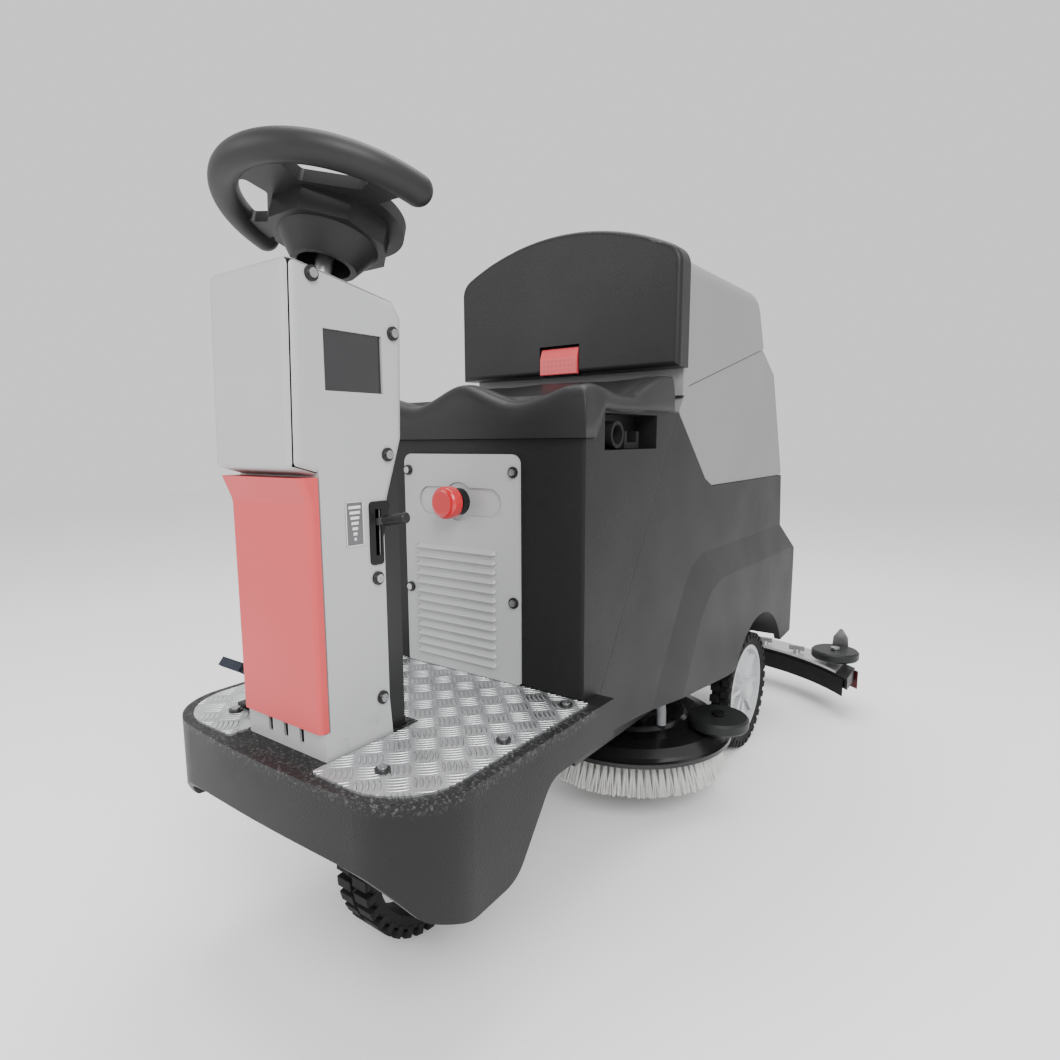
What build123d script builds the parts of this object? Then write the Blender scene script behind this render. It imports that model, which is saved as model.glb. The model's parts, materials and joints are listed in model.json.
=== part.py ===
from build123d import *
import math
import os

# Ride-on floor scrubber: steered front drive wheel, one disc brush, curved squeegee.
# Millimetres. X points to the machine's left, Y to its rear, Z up, and the floor is Z = 0.
# While it is built, Y is counted from the front of the steering column ("station").
# The last lines move everything so that the middle of the footprint is the origin.

# ---- Driving dimensions ----
WALL = 6.0                      # moulded plastic wall of the body
GAP = 1.0                       # gap between covers that only rest against each other
SHAFT_PLAY = 0.3                # radial play of a shaft in a plain hole
RUNNING_PLAY = 0.05             # radial play of a shaft in a bearing

BODY_HALF = 222.0               # half width of the body over the wheel fenders
SIDE_STEP = 8.0                 # how far the fenders stand proud of the upper body
BODY_FRONT = 331.0              # station of the seat base's front face
BODY_TAIL = 1392.0              # station of the body's rearmost point
SEAT_LEDGE = 710.0              # height of the seat base at its front
BODY_TOP = 750.0                # height of the body beside the seat
TANK_LEDGE = 623.0              # height of the ledge that carries the recovery tank
SKIRT_LOW = 226.0               # height of the body's lower edge at the tail

PLATFORM_TOP = 353.0            # height of the foot platform
PLATFORM_HALF = 240.0
PLATFORM_FRONT = -34.0
PLATFORM_CORNER = 92.0
PLATE_THICK = 2.5               # tread plate

COLUMN_HALF = 74.0
COLUMN_FRONT = -16.0
COLUMN_REAR = 149.0
COLUMN_TOP = 894.0
COLUMN_SKIN = 3.0
KICK_LOW = 387.0
KICK_HIGH = 671.0

WHEEL_TILT = 17.0               # steering wheel, degrees from level
WHEEL_STATION = 113.0
WHEEL_HEIGHT = 970.0
RIM_HALF_X = 137.0              # half axes of the rim's centre line
RIM_HALF_Y = 144.0
RIM_SET_BACK = 23.0             # the rim's middle behind the hub's axis
RIM_RADIUS = 16.5
SHAFT_RADIUS = 10.0
SHAFT_DROP = 165.0              # from the wheel's centre down to the ball coupling
BALL_RADIUS = 17.0

DRIVE_STATION = 228.0
DRIVE_RADIUS = 133.0
DRIVE_WIDTH = 60.0
SMALL_SPROCKET = 32.0
LARGE_SPROCKET = 64.0
CHAIN_LOW = 290.0
CHAIN_HEIGHT = 8.0

REAR_STATION = 1106.0
REAR_RADIUS = 133.0
REAR_WIDTH = 44.0
REAR_OUTER = 199.0              # outer face of the rear tyre
RIM_SEAT = 104.0                # radius on which the rear tyre sits
AXLE_RADIUS = 10.0
ARCH_RADIUS = 186.0

BRUSH_X = 55.0                  # the brush stands off-centre, to the left
BRUSH_STATION = 790.0
BRUSH_RADIUS = 190.0
BRUSH_FLOOR = 62.0              # bristle tips above the floor while the deck is parked
BRISTLE_LENGTH = 58.0
DECK_RADIUS = 202.0
DECK_RIM = 124.0                # height of the deck's lower edge, parked
DECK_ARM = 180.0
DECK_ARM_STATION = 556.0
DECK_ARM_HEIGHT = 203.0
DECK_ARM_DROP = 5.0             # degrees below level, parked
DECK_ARM_SPREAD = 50.0          # each arm's distance from the brush's middle plane

ROLLER_RADIUS = 57.0
ROLLER_THICK = 22.0

SQUEEGEE_ARC = 560.0
SQUEEGEE_HALF = 366.0
SQUEEGEE_REAR = 1611.0          # station of the rear blade's middle
BLADE_LOW = 62.0                # blade edge above the floor, parked
SQUEEGEE_ARM_STATION = 1336.0
SQUEEGEE_ARM_HEIGHT = 214.0
SQUEEGEE_ARM = 160.0
SQUEEGEE_ARM_DROP = 14.0

COVER_FRONT = 602.0             # front face of the lid's dark cover
COVER_THICK = 40.0
COVER_LOW = 822.0
COVER_HALF = 222.0
LID_HALF = 214.0
CROWN = 1058.0                  # highest point of the lid's cover
SHOULDER = 1000.0
LID_REAR = 1058.0
SPLIT_FRONT = 795.0             # lid joint at the front, and at the rear
SPLIT_REAR = 892.0

FRAME_HALF = 130.0              # middle of the chassis rails
RAIL = 24.0
RAIL_LOW = 200.0
RAIL_HIGH = 240.0
NECK_LOW = 318.0                # plate over the drive wheel
NECK_HIGH = 326.0


# ---- Shape helpers ----
def box(x, y, z):
    """A block from three (low, high) pairs."""
    middle = Pos((x[0] + x[1]) / 2, (y[0] + y[1]) / 2, (z[0] + z[1]) / 2)
    return middle * Box(x[1] - x[0], y[1] - y[0], z[1] - z[0])


def upright(x, y, z, radius):
    """A cylinder along Z, where z is (low, high)."""
    return Pos(x, y, (z[0] + z[1]) / 2) * Cylinder(radius, z[1] - z[0])


def crosswise(x, y, z, radius):
    """A cylinder along X, where x is (low, high)."""
    return Pos((x[0] + x[1]) / 2, y, z) * Rot(0, 90, 0) * Cylinder(radius, x[1] - x[0])


def lengthwise(x, y, z, radius):
    """A cylinder along Y, where y is (low, high)."""
    return Pos(x, (y[0] + y[1]) / 2, z) * Rot(90, 0, 0) * Cylinder(radius, y[1] - y[0])


def rounded_face(points, radii):
    return make_face(FilletPolyline(*points, radius=radii, close=True))


def side_prism(outline, x, radii=0):
    """An outline of (station, height) points, extruded across the machine."""
    face = rounded_face([(x[0], y, z) for y, z in outline], radii)
    return extrude(face, amount=x[1] - x[0], dir=(1, 0, 0))


def front_prism(outline, y, radii=0):
    """An outline of (x, height) points, extruded along the machine."""
    face = rounded_face([(x, y[0], z) for x, z in outline], radii)
    return extrude(face, amount=y[1] - y[0], dir=(0, 1, 0))


def plan_prism(outline, z, radii=0):
    """An outline of (x, station) points, extruded upwards."""
    face = rounded_face([(x, y, z[0]) for x, y in outline], radii)
    return extrude(face, amount=z[1] - z[0], dir=(0, 0, 1))


def inset(outline, distance):
    """The same closed outline with every side moved inwards."""
    count = len(outline)
    area = sum(outline[i - 1][0] * outline[i][1] - outline[i][0] * outline[i - 1][1] for i in range(count))
    turn = 1 if area > 0 else -1
    sides = []
    for i in range(count):
        (ax, ay), (bx, by) = outline[i - 1], outline[i]
        length = math.hypot(bx - ax, by - ay)
        nx, ny = -(by - ay) / length * turn, (bx - ax) / length * turn
        sides.append((ax + nx * distance, ay + ny * distance, bx - ax, by - ay))
    moved = []
    for i in range(count):
        px, py, ux, uy = sides[i]
        qx, qy, vx, vy = sides[(i + 1) % count]
        along = ((qx - px) * vy - (qy - py) * vx) / (ux * vy - uy * vx)
        moved.append((px + ux * along, py + uy * along))
    return moved


def lathe(profile, x=0, y=0):
    """A closed (radius, height) profile turned about a vertical axis."""
    face = make_face(Polyline(*[(r, 0, z) for r, z in profile], close=True))
    return Pos(x, y, 0) * revolve(face, Axis.Z)


def wheel_lathe(profile, x, y, z):
    """A closed (radius, distance along the axle) profile turned about an axle along X."""
    face = make_face(Polyline(*[(r, 0, a) for r, a in profile], close=True))
    return Pos(x, y, z) * Rot(0, 90, 0) * revolve(face, Axis.Z)


def hose_path(name, route):
    """Straight runs joined by the largest arcs that the shorter run at each corner allows."""
    radii = []
    for before, corner, after in zip(route, route[1:], route[2:]):
        first = Vector(*corner) - Vector(*before)
        second = Vector(*after) - Vector(*corner)
        half_turn = math.radians(first.get_angle(second) / 2)
        radii.append(0.45 * min(first.length, second.length) / math.tan(half_turn))
    path = FilletPolyline(*route, radius=radii)
    print(name, "radii", [round(radius) for radius in radii], "length", round(path.length))
    return path


# ---- Places worked out from the driving dimensions ----
tilt = math.radians(WHEEL_TILT)
COUPLING_STATION = WHEEL_STATION - math.sin(tilt) * SHAFT_DROP
COUPLING_HEIGHT = WHEEL_HEIGHT - math.cos(tilt) * SHAFT_DROP
SPROCKET_DISTANCE = DRIVE_STATION - COUPLING_STATION
deck_drop = math.radians(DECK_ARM_DROP)
DECK_PIVOT_STATION = DECK_ARM_STATION + DECK_ARM * math.cos(deck_drop)
DECK_PIVOT_HEIGHT = DECK_ARM_HEIGHT - DECK_ARM * math.sin(deck_drop)
squeegee_drop = math.radians(SQUEEGEE_ARM_DROP)
YOKE_STATION = SQUEEGEE_ARM_STATION + SQUEEGEE_ARM * math.cos(squeegee_drop)
YOKE_HEIGHT = SQUEEGEE_ARM_HEIGHT - SQUEEGEE_ARM * math.sin(squeegee_drop)
ARC_CENTRE = SQUEEGEE_REAR - SQUEEGEE_ARC
AXLE_HEIGHT = REAR_RADIUS
REAR_INNER = REAR_OUTER - REAR_WIDTH


def on_wheel_axis(shape):
    """Moves a shape from the steering wheel's own frame, where Z is its axis, to its place."""
    return Pos(0, WHEEL_STATION, WHEEL_HEIGHT) * Rot(-WHEEL_TILT, 0, 0) * shape


# ---- Body and platform ----
PLATFORM_SCREWS = [(141.0, 31.0), (202.0, 167.0), (204.0, 303.0)]
SCREW_HOLE = 3.3


def platform_outline(shrink):
    half = PLATFORM_HALF - shrink
    front = PLATFORM_FRONT + shrink
    shallow = front + 18
    edge = [
        ThreePointArc((-half, shallow, 0), (0, front, 0), (half, shallow, 0)),
        Line((half, shallow, 0), (half, BODY_FRONT + 40, 0)),
        Line((half, BODY_FRONT + 40, 0), (-half, BODY_FRONT + 40, 0)),
        Line((-half, BODY_FRONT + 40, 0), (-half, shallow, 0)),
    ]
    face = make_face(edge)
    corners = [v for v in face.vertices() if v.Y < BODY_FRONT]
    return fillet(corners, PLATFORM_CORNER - shrink)


def body_outline():
    return [
        (BODY_FRONT, 292.0), (BODY_FRONT, SEAT_LEDGE), (BODY_FRONT + 20, SEAT_LEDGE),
        (BODY_FRONT + 42, BODY_TOP), (626.0, BODY_TOP), (756.0, TANK_LEDGE + 12), (790.0, TANK_LEDGE),
        (1232.0, TANK_LEDGE), (1244.0, 504.0), (1352.0, 435.0), (BODY_TAIL, SKIRT_LOW), (1240.0, 217.0),
        (887.0, 233.0), (489.0, 277.0), (366.0, 286.0),
    ]


def body_plan(shrink):
    half = BODY_HALF - shrink
    front = BODY_FRONT + shrink
    tail = BODY_TAIL + 20 - shrink
    return [(-half, front), (half, front), (half, tail), (-half, tail)]


def fender_relief():
    """What is cut from the upper side: a slope falls from the fender's line to the upper body."""
    above = [(1500, 800), (300, 800), (300, 200)]
    fender_line = [(635, 200), (741, 382), (790, 424), (840, 440), (1500, 436)] + above
    upper_line = [(503, 200), (671, 453), (704, 486), (754, 504), (1500, 505)] + above
    proud = make_face(Polyline(*[(BODY_HALF + 0.5, y, z) for y, z in fender_line], close=True))
    low = make_face(Polyline(*[(BODY_HALF - SIDE_STEP, y, z) for y, z in upper_line], close=True))
    return loft([low, proud], ruled=True)


def body_shell():
    corner = [14.0, 14.0, 70.0, 70.0]
    outer = side_prism(body_outline(), (-BODY_HALF, BODY_HALF), 0)
    outer &= plan_prism(body_plan(0), (100, 900), corner)
    hollow_outline = inset(body_outline(), WALL)
    inner_half = BODY_HALF - SIDE_STEP - WALL
    hollow = side_prism(hollow_outline, (-inner_half, inner_half), 0)
    hollow &= plan_prism(body_plan(WALL), (100, 900), [r - WALL for r in corner])
    rear = outer - hollow - Pos(0, 0, -3 * WALL) * hollow
    rear -= box((-inner_half, inner_half), (366 - 2 * WALL, BODY_TAIL - 3 * WALL), (150, 300))
    rear -= fender_relief()
    rear -= mirror(fender_relief(), about=Plane.YZ)

    platform = extrude(Pos(0, 0, 190) * platform_outline(0), amount=PLATFORM_TOP - 190)
    platform -= extrude(Pos(0, 0, 150) * platform_outline(WALL), amount=PLATFORM_TOP - WALL - 150)
    skirt = [(-90, 100), (-90, 282), (-30, 278), (8, 224), (60, 203), (142, 206), (214, 300), (345, 300),
             (420, 286), (420, 100)]
    platform -= side_prism(skirt, (-300, 300), [0, 0, 24, 30, 60, 45, 40, 0, 0, 0])
    platform -= box((-300, 300), (BODY_FRONT + 41, 500), (100, 500))

    behind = box((-inner_half, inner_half), (BODY_FRONT + WALL, BODY_FRONT + 60), (150, PLATFORM_TOP + 20))
    body = (platform - behind) + rear
    body -= box((-BODY_HALF + 30, BODY_HALF - 30), (BODY_FRONT - 1, BODY_FRONT + WALL + 1), (150, PLATFORM_TOP - WALL))

    body -= box((-COLUMN_HALF + 6, COLUMN_HALF - 6), (12, 142), (PLATFORM_TOP - 20, PLATFORM_TOP + 5))
    for x, y in PLATFORM_SCREWS:
        for side in (-1, 1):
            body -= upright(side * x, y, (PLATFORM_TOP - 20, PLATFORM_TOP + 5), SCREW_HOLE)
    body -= box((-96, 96), (BODY_FRONT - 5, BODY_FRONT + WALL + 5), (372, 560))
    body -= lengthwise(0, (BODY_FRONT - 5, BODY_FRONT + WALL + 5), STOP_HEIGHT, 40)
    for x, z in panel_screw_places():
        body -= lengthwise(x, (BODY_FRONT - 5, BODY_FRONT + WALL + 5), z, SCREW_HOLE)

    # the battery bay opens under the seat, and the side pocket opens to the left
    body -= box((-BODY_HALF + 26, BODY_HALF - 26), (BODY_FRONT + 50, 600), (BODY_TOP - 2 * WALL, BODY_TOP + 10))
    pocket = box((POCKET_INNER - 3, BODY_HALF - SIDE_STEP - 1), (POCKET_FRONT - 3, POCKET_REAR + 3), (POCKET_LOW - 3, BODY_TOP - 1))
    room = box((POCKET_INNER, BODY_HALF + 10), (POCKET_FRONT, POCKET_REAR), (POCKET_LOW, BODY_TOP - WALL))
    body = body + pocket - room

    for side in (-1, 1):
        liner = crosswise(span(side, REAR_INNER - 10, BODY_HALF - 4), REAR_STATION - 6, AXLE_HEIGHT,
                          ARCH_RADIUS + 4)
        body = body + (liner & box((-300, 300), (REAR_STATION - 250, BODY_TAIL - 40), (232, 400)))
        body -= crosswise(span(side, REAR_INNER - 6, BODY_HALF + 30), REAR_STATION - 6, AXLE_HEIGHT,
                          ARCH_RADIUS)
    # the suction hose enters through a notch in the tail
    body -= front_prism([(-42, 150), (42, 150), (42, 318), (-42, 318)], (BODY_TAIL - 70, BODY_TAIL + 10),
                        [0, 0, 40, 40])
    return body


# ---- Side pocket ----
POCKET_INNER = 176.0
POCKET_FRONT = 382.0
POCKET_REAR = 545.0
POCKET_LOW = 694.0


def drain_hose_end():
    """The capped end of the drain hose, parked in the side pocket."""
    cuff = crosswise((POCKET_INNER + 1, POCKET_INNER + 34), POCKET_FRONT + 44, POCKET_LOW + 21, 19)
    cuff -= crosswise((POCKET_INNER + 12, POCKET_INNER + 40), POCKET_FRONT + 44, POCKET_LOW + 21, 14)
    clip = box((POCKET_INNER + 1, POCKET_INNER + 24), (POCKET_FRONT + 84, POCKET_FRONT + 130),
               (POCKET_LOW + 1, POCKET_LOW + 26))
    clip -= box((POCKET_INNER + 8, POCKET_INNER + 40), (POCKET_FRONT + 92, POCKET_FRONT + 122),
                (POCKET_LOW + 10, POCKET_LOW + 40))
    return [cuff, clip]


# ---- Chassis ----
def span(side, inner, outer):
    """The (low, high) pair of a stretch on one side of a middle plane."""
    return (inner, outer) if side > 0 else (-outer, -inner)


def rail_span(side):
    return span(side, FRAME_HALF - RAIL / 2, FRAME_HALF + RAIL / 2)


def chassis_frame():
    full = (-FRAME_HALF - RAIL / 2, FRAME_HALF + RAIL / 2)
    frame = box(full, (0, 460), (NECK_LOW, NECK_HIGH))
    for side in (-1, 1):
        frame += box(rail_span(side), (430, FRAME_TAIL), (RAIL_LOW, RAIL_HIGH))
        frame += box(rail_span(side), (430, 460), (RAIL_LOW, NECK_LOW))
        frame += box(rail_span(side), (700, 730), (RAIL_HIGH, TRAY_LOW))
        frame += box(span(side, FRAME_HALF - 4, FRAME_HALF + 4), (REAR_STATION - 22, REAR_STATION + 22),
                     (AXLE_HEIGHT - 24, RAIL_LOW))
        frame += box(span(side, 42, 50), (FRAME_TAIL - 30, SQUEEGEE_ARM_STATION + 14),
                     (SQUEEGEE_ARM_HEIGHT - 14, SQUEEGEE_ARM_HEIGHT + 14))
    for station in (430, DECK_ARM_STATION - 50, 940, FRAME_TAIL - 30):
        frame += box(full, (station, station + 30), (RAIL_LOW, RAIL_HIGH))
    frame += box((-185, 185), (440, 730), (TRAY_LOW, TRAY_LOW + 4))
    for x, side in deck_arm_places():
        low, high = span(side, 7, 12)
        frame += box((x + low, x + high), (DECK_ARM_STATION - 30, DECK_ARM_STATION + 14),
                     (DECK_ARM_HEIGHT - 14, DECK_ARM_HEIGHT + 14))
    frame -= crosswise((-170, 170), REAR_STATION, AXLE_HEIGHT, AXLE_RADIUS + 0.02)
    frame -= crosswise((-117, 117), DECK_ARM_STATION, DECK_ARM_HEIGHT, DECK_PIN + SHAFT_PLAY)
    frame -= crosswise((-80, 80), SQUEEGEE_ARM_STATION, SQUEEGEE_ARM_HEIGHT, SQUEEGEE_PIN + SHAFT_PLAY)
    frame -= upright(0, COUPLING_STATION, (300, 340), LOWER_SHAFT + SHAFT_PLAY)
    frame -= upright(0, DRIVE_STATION, (300, 340), STEM_RADIUS + 2)
    return frame


TRAY_LOW = 330.0
FRAME_TAIL = 1292.0
BATTERY_HALF = 166.0


def batteries():
    """Two deep-cycle blocks side by side, each with its two terminals."""
    blocks = []
    for side in (-1, 1):
        low, high = sorted((side * 4, side * (4 + BATTERY_HALF)))
        block = box((low, high), (446, 724), (TRAY_LOW + 4, TRAY_LOW + 4 + 190))
        for station in (480, 690):
            block += upright(side * 140, station, (TRAY_LOW + 190, TRAY_LOW + 4 + 204), 9)
        blocks.append(block)
    return blocks


# ---- Tread plate ----
def tread_plate():
    half = 224.0
    outline = [(-half, BODY_FRONT - 2), (-half, -16), (-79, -16), (-79, 152), (79, 152), (79, -16), (half, -16),
               (half, BODY_FRONT - 2)]
    plate = plan_prism(outline, (PLATFORM_TOP, PLATFORM_TOP + PLATE_THICK), [4, 84, 6, 4, 4, 6, 84, 4])
    for x, y in PLATFORM_SCREWS:
        for side in (-1, 1):
            plate -= upright(side * x, y, (PLATFORM_TOP - 2, PLATFORM_TOP + 9), SCREW_HOLE)
    return plate


def cap_screw(washer, length):
    """A socket-head screw in a cup washer, pointing down, with its seat at Z = 0."""
    screw = Pos(0, 0, 1.5) * Cylinder(washer, 3)
    screw += Pos(0, 0, 4) * Cylinder(washer * 0.62, 3)
    screw -= Pos(0, 0, 5) * extrude(RegularPolygon(washer * 0.3, 6), amount=3)
    screw += Pos(0, 0, -length / 2) * Cylinder(3.0, length)
    return screw


def tread_plate_screws():
    seat = PLATFORM_TOP + PLATE_THICK
    return [Pos(side * x, y, seat) * cap_screw(9, 12) for x, y in PLATFORM_SCREWS for side in (-1, 1)]


# ---- Steering column ----
COLUMN_SCREWS = [(18.0, 878.0), (129.0, 831.0), (115.0, 693.0), (94.0, 550.0), (95.0, 404.0)]
LOWER_SHAFT = 9.0
WINDOW = ((30.0, 112.0), (762.0, 826.0))
SLOT = ((92.0, 101.0), (577.0, 631.0))
LEVER_PIVOT = (10.0, 606.0)


def column_outline():
    return [
        (10.0, PLATFORM_TOP), (10.0, KICK_LOW - GAP), (17.0, KICK_LOW - GAP), (17.0, KICK_HIGH + GAP),
        (COLUMN_FRONT, KICK_HIGH + 10), (COLUMN_FRONT + 6, COLUMN_TOP), (136.0, 870.0), (COLUMN_REAR, 851.0),
        (144.0, 711.0), (120.0, 643.0), (107.0, 590.0), (107.0, 400.0), (111.0, PLATFORM_TOP),
    ]


def column_housing():
    outer = side_prism(column_outline(), (-COLUMN_HALF, COLUMN_HALF), [0, 0, 0, 0, 6, 8, 10, 8, 12, 10, 0, 0, 0])
    upper_corners = [e for e in outer.edges()
                     if abs(e.center().X) > COLUMN_HALF - 0.5 and e.center().Y < 0 and e.length > 100]
    outer = fillet(upper_corners, 12)
    side = COLUMN_HALF - COLUMN_SKIN
    hollow = side_prism(inset(column_outline(), COLUMN_SKIN), (-side, side))
    hollow += box((-side, side), (14, 104), (PLATFORM_TOP - 5, PLATFORM_TOP + 10))
    # the lower part is open at the rear, where the steel frame shows
    hollow += box((-side, side), (100, 160), (PLATFORM_TOP - 5, 712))
    housing = outer - hollow
    housing -= on_wheel_axis(Pos(0, 0, -100) * Cylinder(SHAFT_RADIUS + 12, 60))
    housing -= box((COLUMN_HALF - 10, COLUMN_HALF + 10), WINDOW[0], WINDOW[1])
    housing -= box((COLUMN_HALF - 10, COLUMN_HALF + 10), (SLOT[0][0] - 1, SLOT[0][1] + 1),
                   (SLOT[1][0] - 1, SLOT[1][1] + 1))
    for y, z in COLUMN_SCREWS:
        housing -= crosswise((-COLUMN_HALF - 5, COLUMN_HALF + 5), y, z, SCREW_HOLE)
    # three drain slots in the foot
    for x in (-30, 0, 30):
        housing -= box((x - 4, x + 4), (5, 15), (KICK_LOW - 22, KICK_LOW + 1))
    return housing


def column_frame():
    """Folded steel channel that stands on the chassis and carries both steering shafts."""
    half = 67.0
    side_outline = [(20, NECK_HIGH), (138, NECK_HIGH), (138, 700), (138, 838), (118, 856), (20, 872)]
    channel = side_prism(side_outline, (-half, half))
    channel -= side_prism([(10, 300), (135, 300), (135, 900), (10, 900)], (-half + 3, half - 3))
    channel += box((-half, half), (20, 138), (NECK_HIGH, NECK_HIGH + 5))
    channel += box((-half, half), (20, 138), (560, 564)) - box((-30, 60), (84, 138), (550, 570))
    channel += on_wheel_axis(Pos(0, 0, BEARING_SEAT - 2.5) * Box(2 * half - 4, 66, 5))
    channel -= on_wheel_axis(Pos(0, 0, BEARING_SEAT) * Cylinder(SHAFT_RADIUS + 3, 30))
    channel -= upright(0, COUPLING_STATION, (300, 800), LOWER_SHAFT + SHAFT_PLAY)
    channel -= box((0, half + 5), (SLOT[0][0] - 6, SLOT[0][1] + 6), (SLOT[1][0] - 8, SLOT[1][1] + 8))
    for y, z in COLUMN_SCREWS:
        channel -= crosswise((-half - 5, half + 5), y, z, SCREW_HOLE)
    pin = lengthwise(LEVER_PIVOT[0], (84, 136), LEVER_PIVOT[1], LEVER_PIN)
    return channel + pin


LEVER_PIN = 4.0
BEARING_SEAT = -124.0           # along the steering wheel's axis


def column_screws():
    screws = []
    for y, z in COLUMN_SCREWS:
        screws.append(Pos(COLUMN_HALF, y, z) * Rot(0, 90, 0) * cap_screw(8, 9))
        screws.append(Pos(-COLUMN_HALF, y, z) * Rot(0, -90, 0) * cap_screw(8, 9))
    return screws


def kick_panel():
    outline = [(3, KICK_LOW), (3, 642), (-9, KICK_HIGH), (15, KICK_HIGH), (15, KICK_LOW)]
    panel = side_prism(outline, (-COLUMN_HALF, COLUMN_HALF), [0, 30, 0, 0, 0])
    corners = [e for e in panel.edges() if abs(e.center().X) > COLUMN_HALF - 0.5
               and e.center().Y < 5 and KICK_LOW + 1 < e.center().Z < KICK_HIGH - 1]
    panel = fillet(corners, 6)
    inner = [(7, KICK_LOW + 4), (7, 643), (-3, KICK_HIGH - 4), (20, KICK_HIGH - 4), (20, KICK_LOW + 4)]
    return panel - side_prism(inner, (-COLUMN_HALF + 4, COLUMN_HALF - 4))


def display_window():
    face = COLUMN_HALF - COLUMN_SKIN
    plate = box((face - 2.4, face - 0.1), (WINDOW[0][0] - 6, WINDOW[0][1] + 6), (WINDOW[1][0] - 6, WINDOW[1][1] + 6))
    return plate


def lever_plate():
    plate = side_prism([(84, 640), (117, 640), (104, 598), (104, 566), (84, 566)],
                       (COLUMN_HALF, COLUMN_HALF + 2), [5, 5, 6, 4, 5])
    return plate - box((COLUMN_HALF - 5, COLUMN_HALF + 5), SLOT[0], SLOT[1])


LEVER_RISE = 9.0                # degrees above level at rest


def on_lever(shape):
    """Places a shape drawn along +X from the lever's pivot."""
    middle = (SLOT[0][0] + SLOT[0][1]) / 2
    return Pos(LEVER_PIVOT[0], middle, LEVER_PIVOT[1]) * Rot(0, -LEVER_RISE, 0) * shape


def water_lever():
    arm = Pos(46, 0, 0) * Box(80, 4, 8)
    arm = (arm + Rot(90, 0, 0) * Cylinder(10, 14)) - Rot(90, 0, 0) * Cylinder(LEVER_PIN + RUNNING_PLAY, 30)
    stud = Pos(98, 0, 0) * Rot(0, 90, 0) * Cylinder(3, 24)
    return on_lever(arm + stud)


def water_lever_knob():
    grip = Pos(96, 0, 0) * Rot(0, 90, 0) * Cylinder(6.5, 36)
    grip = fillet(grip.edges(), 2)
    return on_lever(grip - Pos(98, 0, 0) * Rot(0, 90, 0) * Cylinder(3, 24.1) - Pos(82, 0, 0) * Box(10, 4.1, 8.1))


# ---- Steering wheel and shafts ----
WEB_HALF = 7.0                  # half thickness of the web
WEB_LOBE = 84.0
HUB_RADIUS = 70.0


def rim_path():
    """Centre line of the rim: the front and both sides, open towards the driver."""
    return EllipticalCenterArc((0, RIM_SET_BACK), RIM_HALF_X, RIM_HALF_Y, start_angle=189, arc_size=162)


def wheel_solid():
    path = rim_path()
    start = path @ 0
    ring = sweep(Plane(origin=start, z_dir=path % 0) * Circle(RIM_RADIUS), path=path)
    ring += Pos(start.X, start.Y, 0) * Sphere(RIM_RADIUS)
    finish = path @ 1
    ring += Pos(finish.X, finish.Y, 0) * Sphere(RIM_RADIUS)
    # the web fills the rim's front half but for two openings, and has a round lobe behind the hub
    web = extrude(Pos(0, RIM_SET_BACK, -WEB_HALF) * Ellipse(RIM_HALF_X - 5, RIM_HALF_Y - 5), amount=2 * WEB_HALF)
    web -= Pos(0, 145, 0) * Box(500, 300, 60)
    web += Cylinder(WEB_LOBE, 2 * WEB_HALF)
    for side in (-1, 1):
        opening = [(side * 33, -101), (side * 29, -70), (side * 84, -31), (side * 108, -39), (side * 79, -83)]
        web -= plan_prism(opening, (-20, 20), [7, 6, 7, 6, 14])
    # above the web the hub is a low pad, below it an octagon and a cone
    hub = extrude(Pos(0, 0, -34) * RegularPolygon(HUB_RADIUS, 8, rotation=22.5), amount=34 - WEB_HALF)
    hub += Pos(0, 0, -48) * Cone(38, HUB_RADIUS - 12, 28)
    hub += Pos(0, 0, WEB_HALF + 1) * Cylinder(HUB_RADIUS - 12, 8)
    hub -= Pos(0, 0, -52) * Cylinder(31, 24)
    return ring + web + hub


def steering_wheel_half(top):
    half = Pos(0, 0, 100) * Box(600, 600, 200) if top else Pos(0, 0, -100) * Box(600, 600, 200)
    shell = wheel_solid() & half
    if not top:
        shell -= Pos(0, 0, -40) * Cylinder(SHAFT_RADIUS + 0.02, 64)
    return on_wheel_axis(shell)


def steering_shaft():
    """Upper shaft: it ends in a cup that turns on the ball of the lower shaft."""
    top = -12.0
    shaft = Pos(0, 0, (top - SHAFT_DROP + 20) / 2) * Cylinder(SHAFT_RADIUS, SHAFT_DROP - 20 + top)
    cup = Pos(0, 0, -SHAFT_DROP + 14) * Cylinder(BALL_RADIUS + 5, 24)
    cup -= Pos(0, 0, -SHAFT_DROP) * Sphere(BALL_RADIUS + SHAFT_PLAY)
    return on_wheel_axis(shaft + cup)


def steering_bearing():
    ring = Cylinder(SHAFT_RADIUS + 11, 10) - Cylinder(SHAFT_RADIUS + RUNNING_PLAY, 20)
    return on_wheel_axis(Pos(0, 0, BEARING_SEAT + 5) * ring)


def lower_steering_shaft():
    ball = Pos(0, COUPLING_STATION, COUPLING_HEIGHT) * Sphere(BALL_RADIUS)
    shaft = upright(0, COUPLING_STATION, (CHAIN_LOW - 4, COUPLING_HEIGHT), LOWER_SHAFT)
    return ball + shaft


def sprocket(pitch_radius, teeth, bore):
    """Toothed disc that stays inside the chain's rollers."""
    disc = Cylinder(pitch_radius, CHAIN_HEIGHT - 2)
    for index in range(teeth):
        angle = 360 * index / teeth
        disc -= Rot(0, 0, angle) * Pos(pitch_radius + 1, 0, 0) * Cylinder(3.4, CHAIN_HEIGHT)
    return disc - Cylinder(bore, CHAIN_HEIGHT)


def column_sprocket():
    disc = sprocket(SMALL_SPROCKET, 16, LOWER_SHAFT + 0.02)
    return Pos(0, COUPLING_STATION, CHAIN_LOW + CHAIN_HEIGHT / 2) * disc


def fork_sprocket():
    disc = sprocket(LARGE_SPROCKET, 32, STEM_RADIUS + 0.02)
    return Pos(0, DRIVE_STATION, CHAIN_LOW + CHAIN_HEIGHT / 2) * disc


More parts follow.
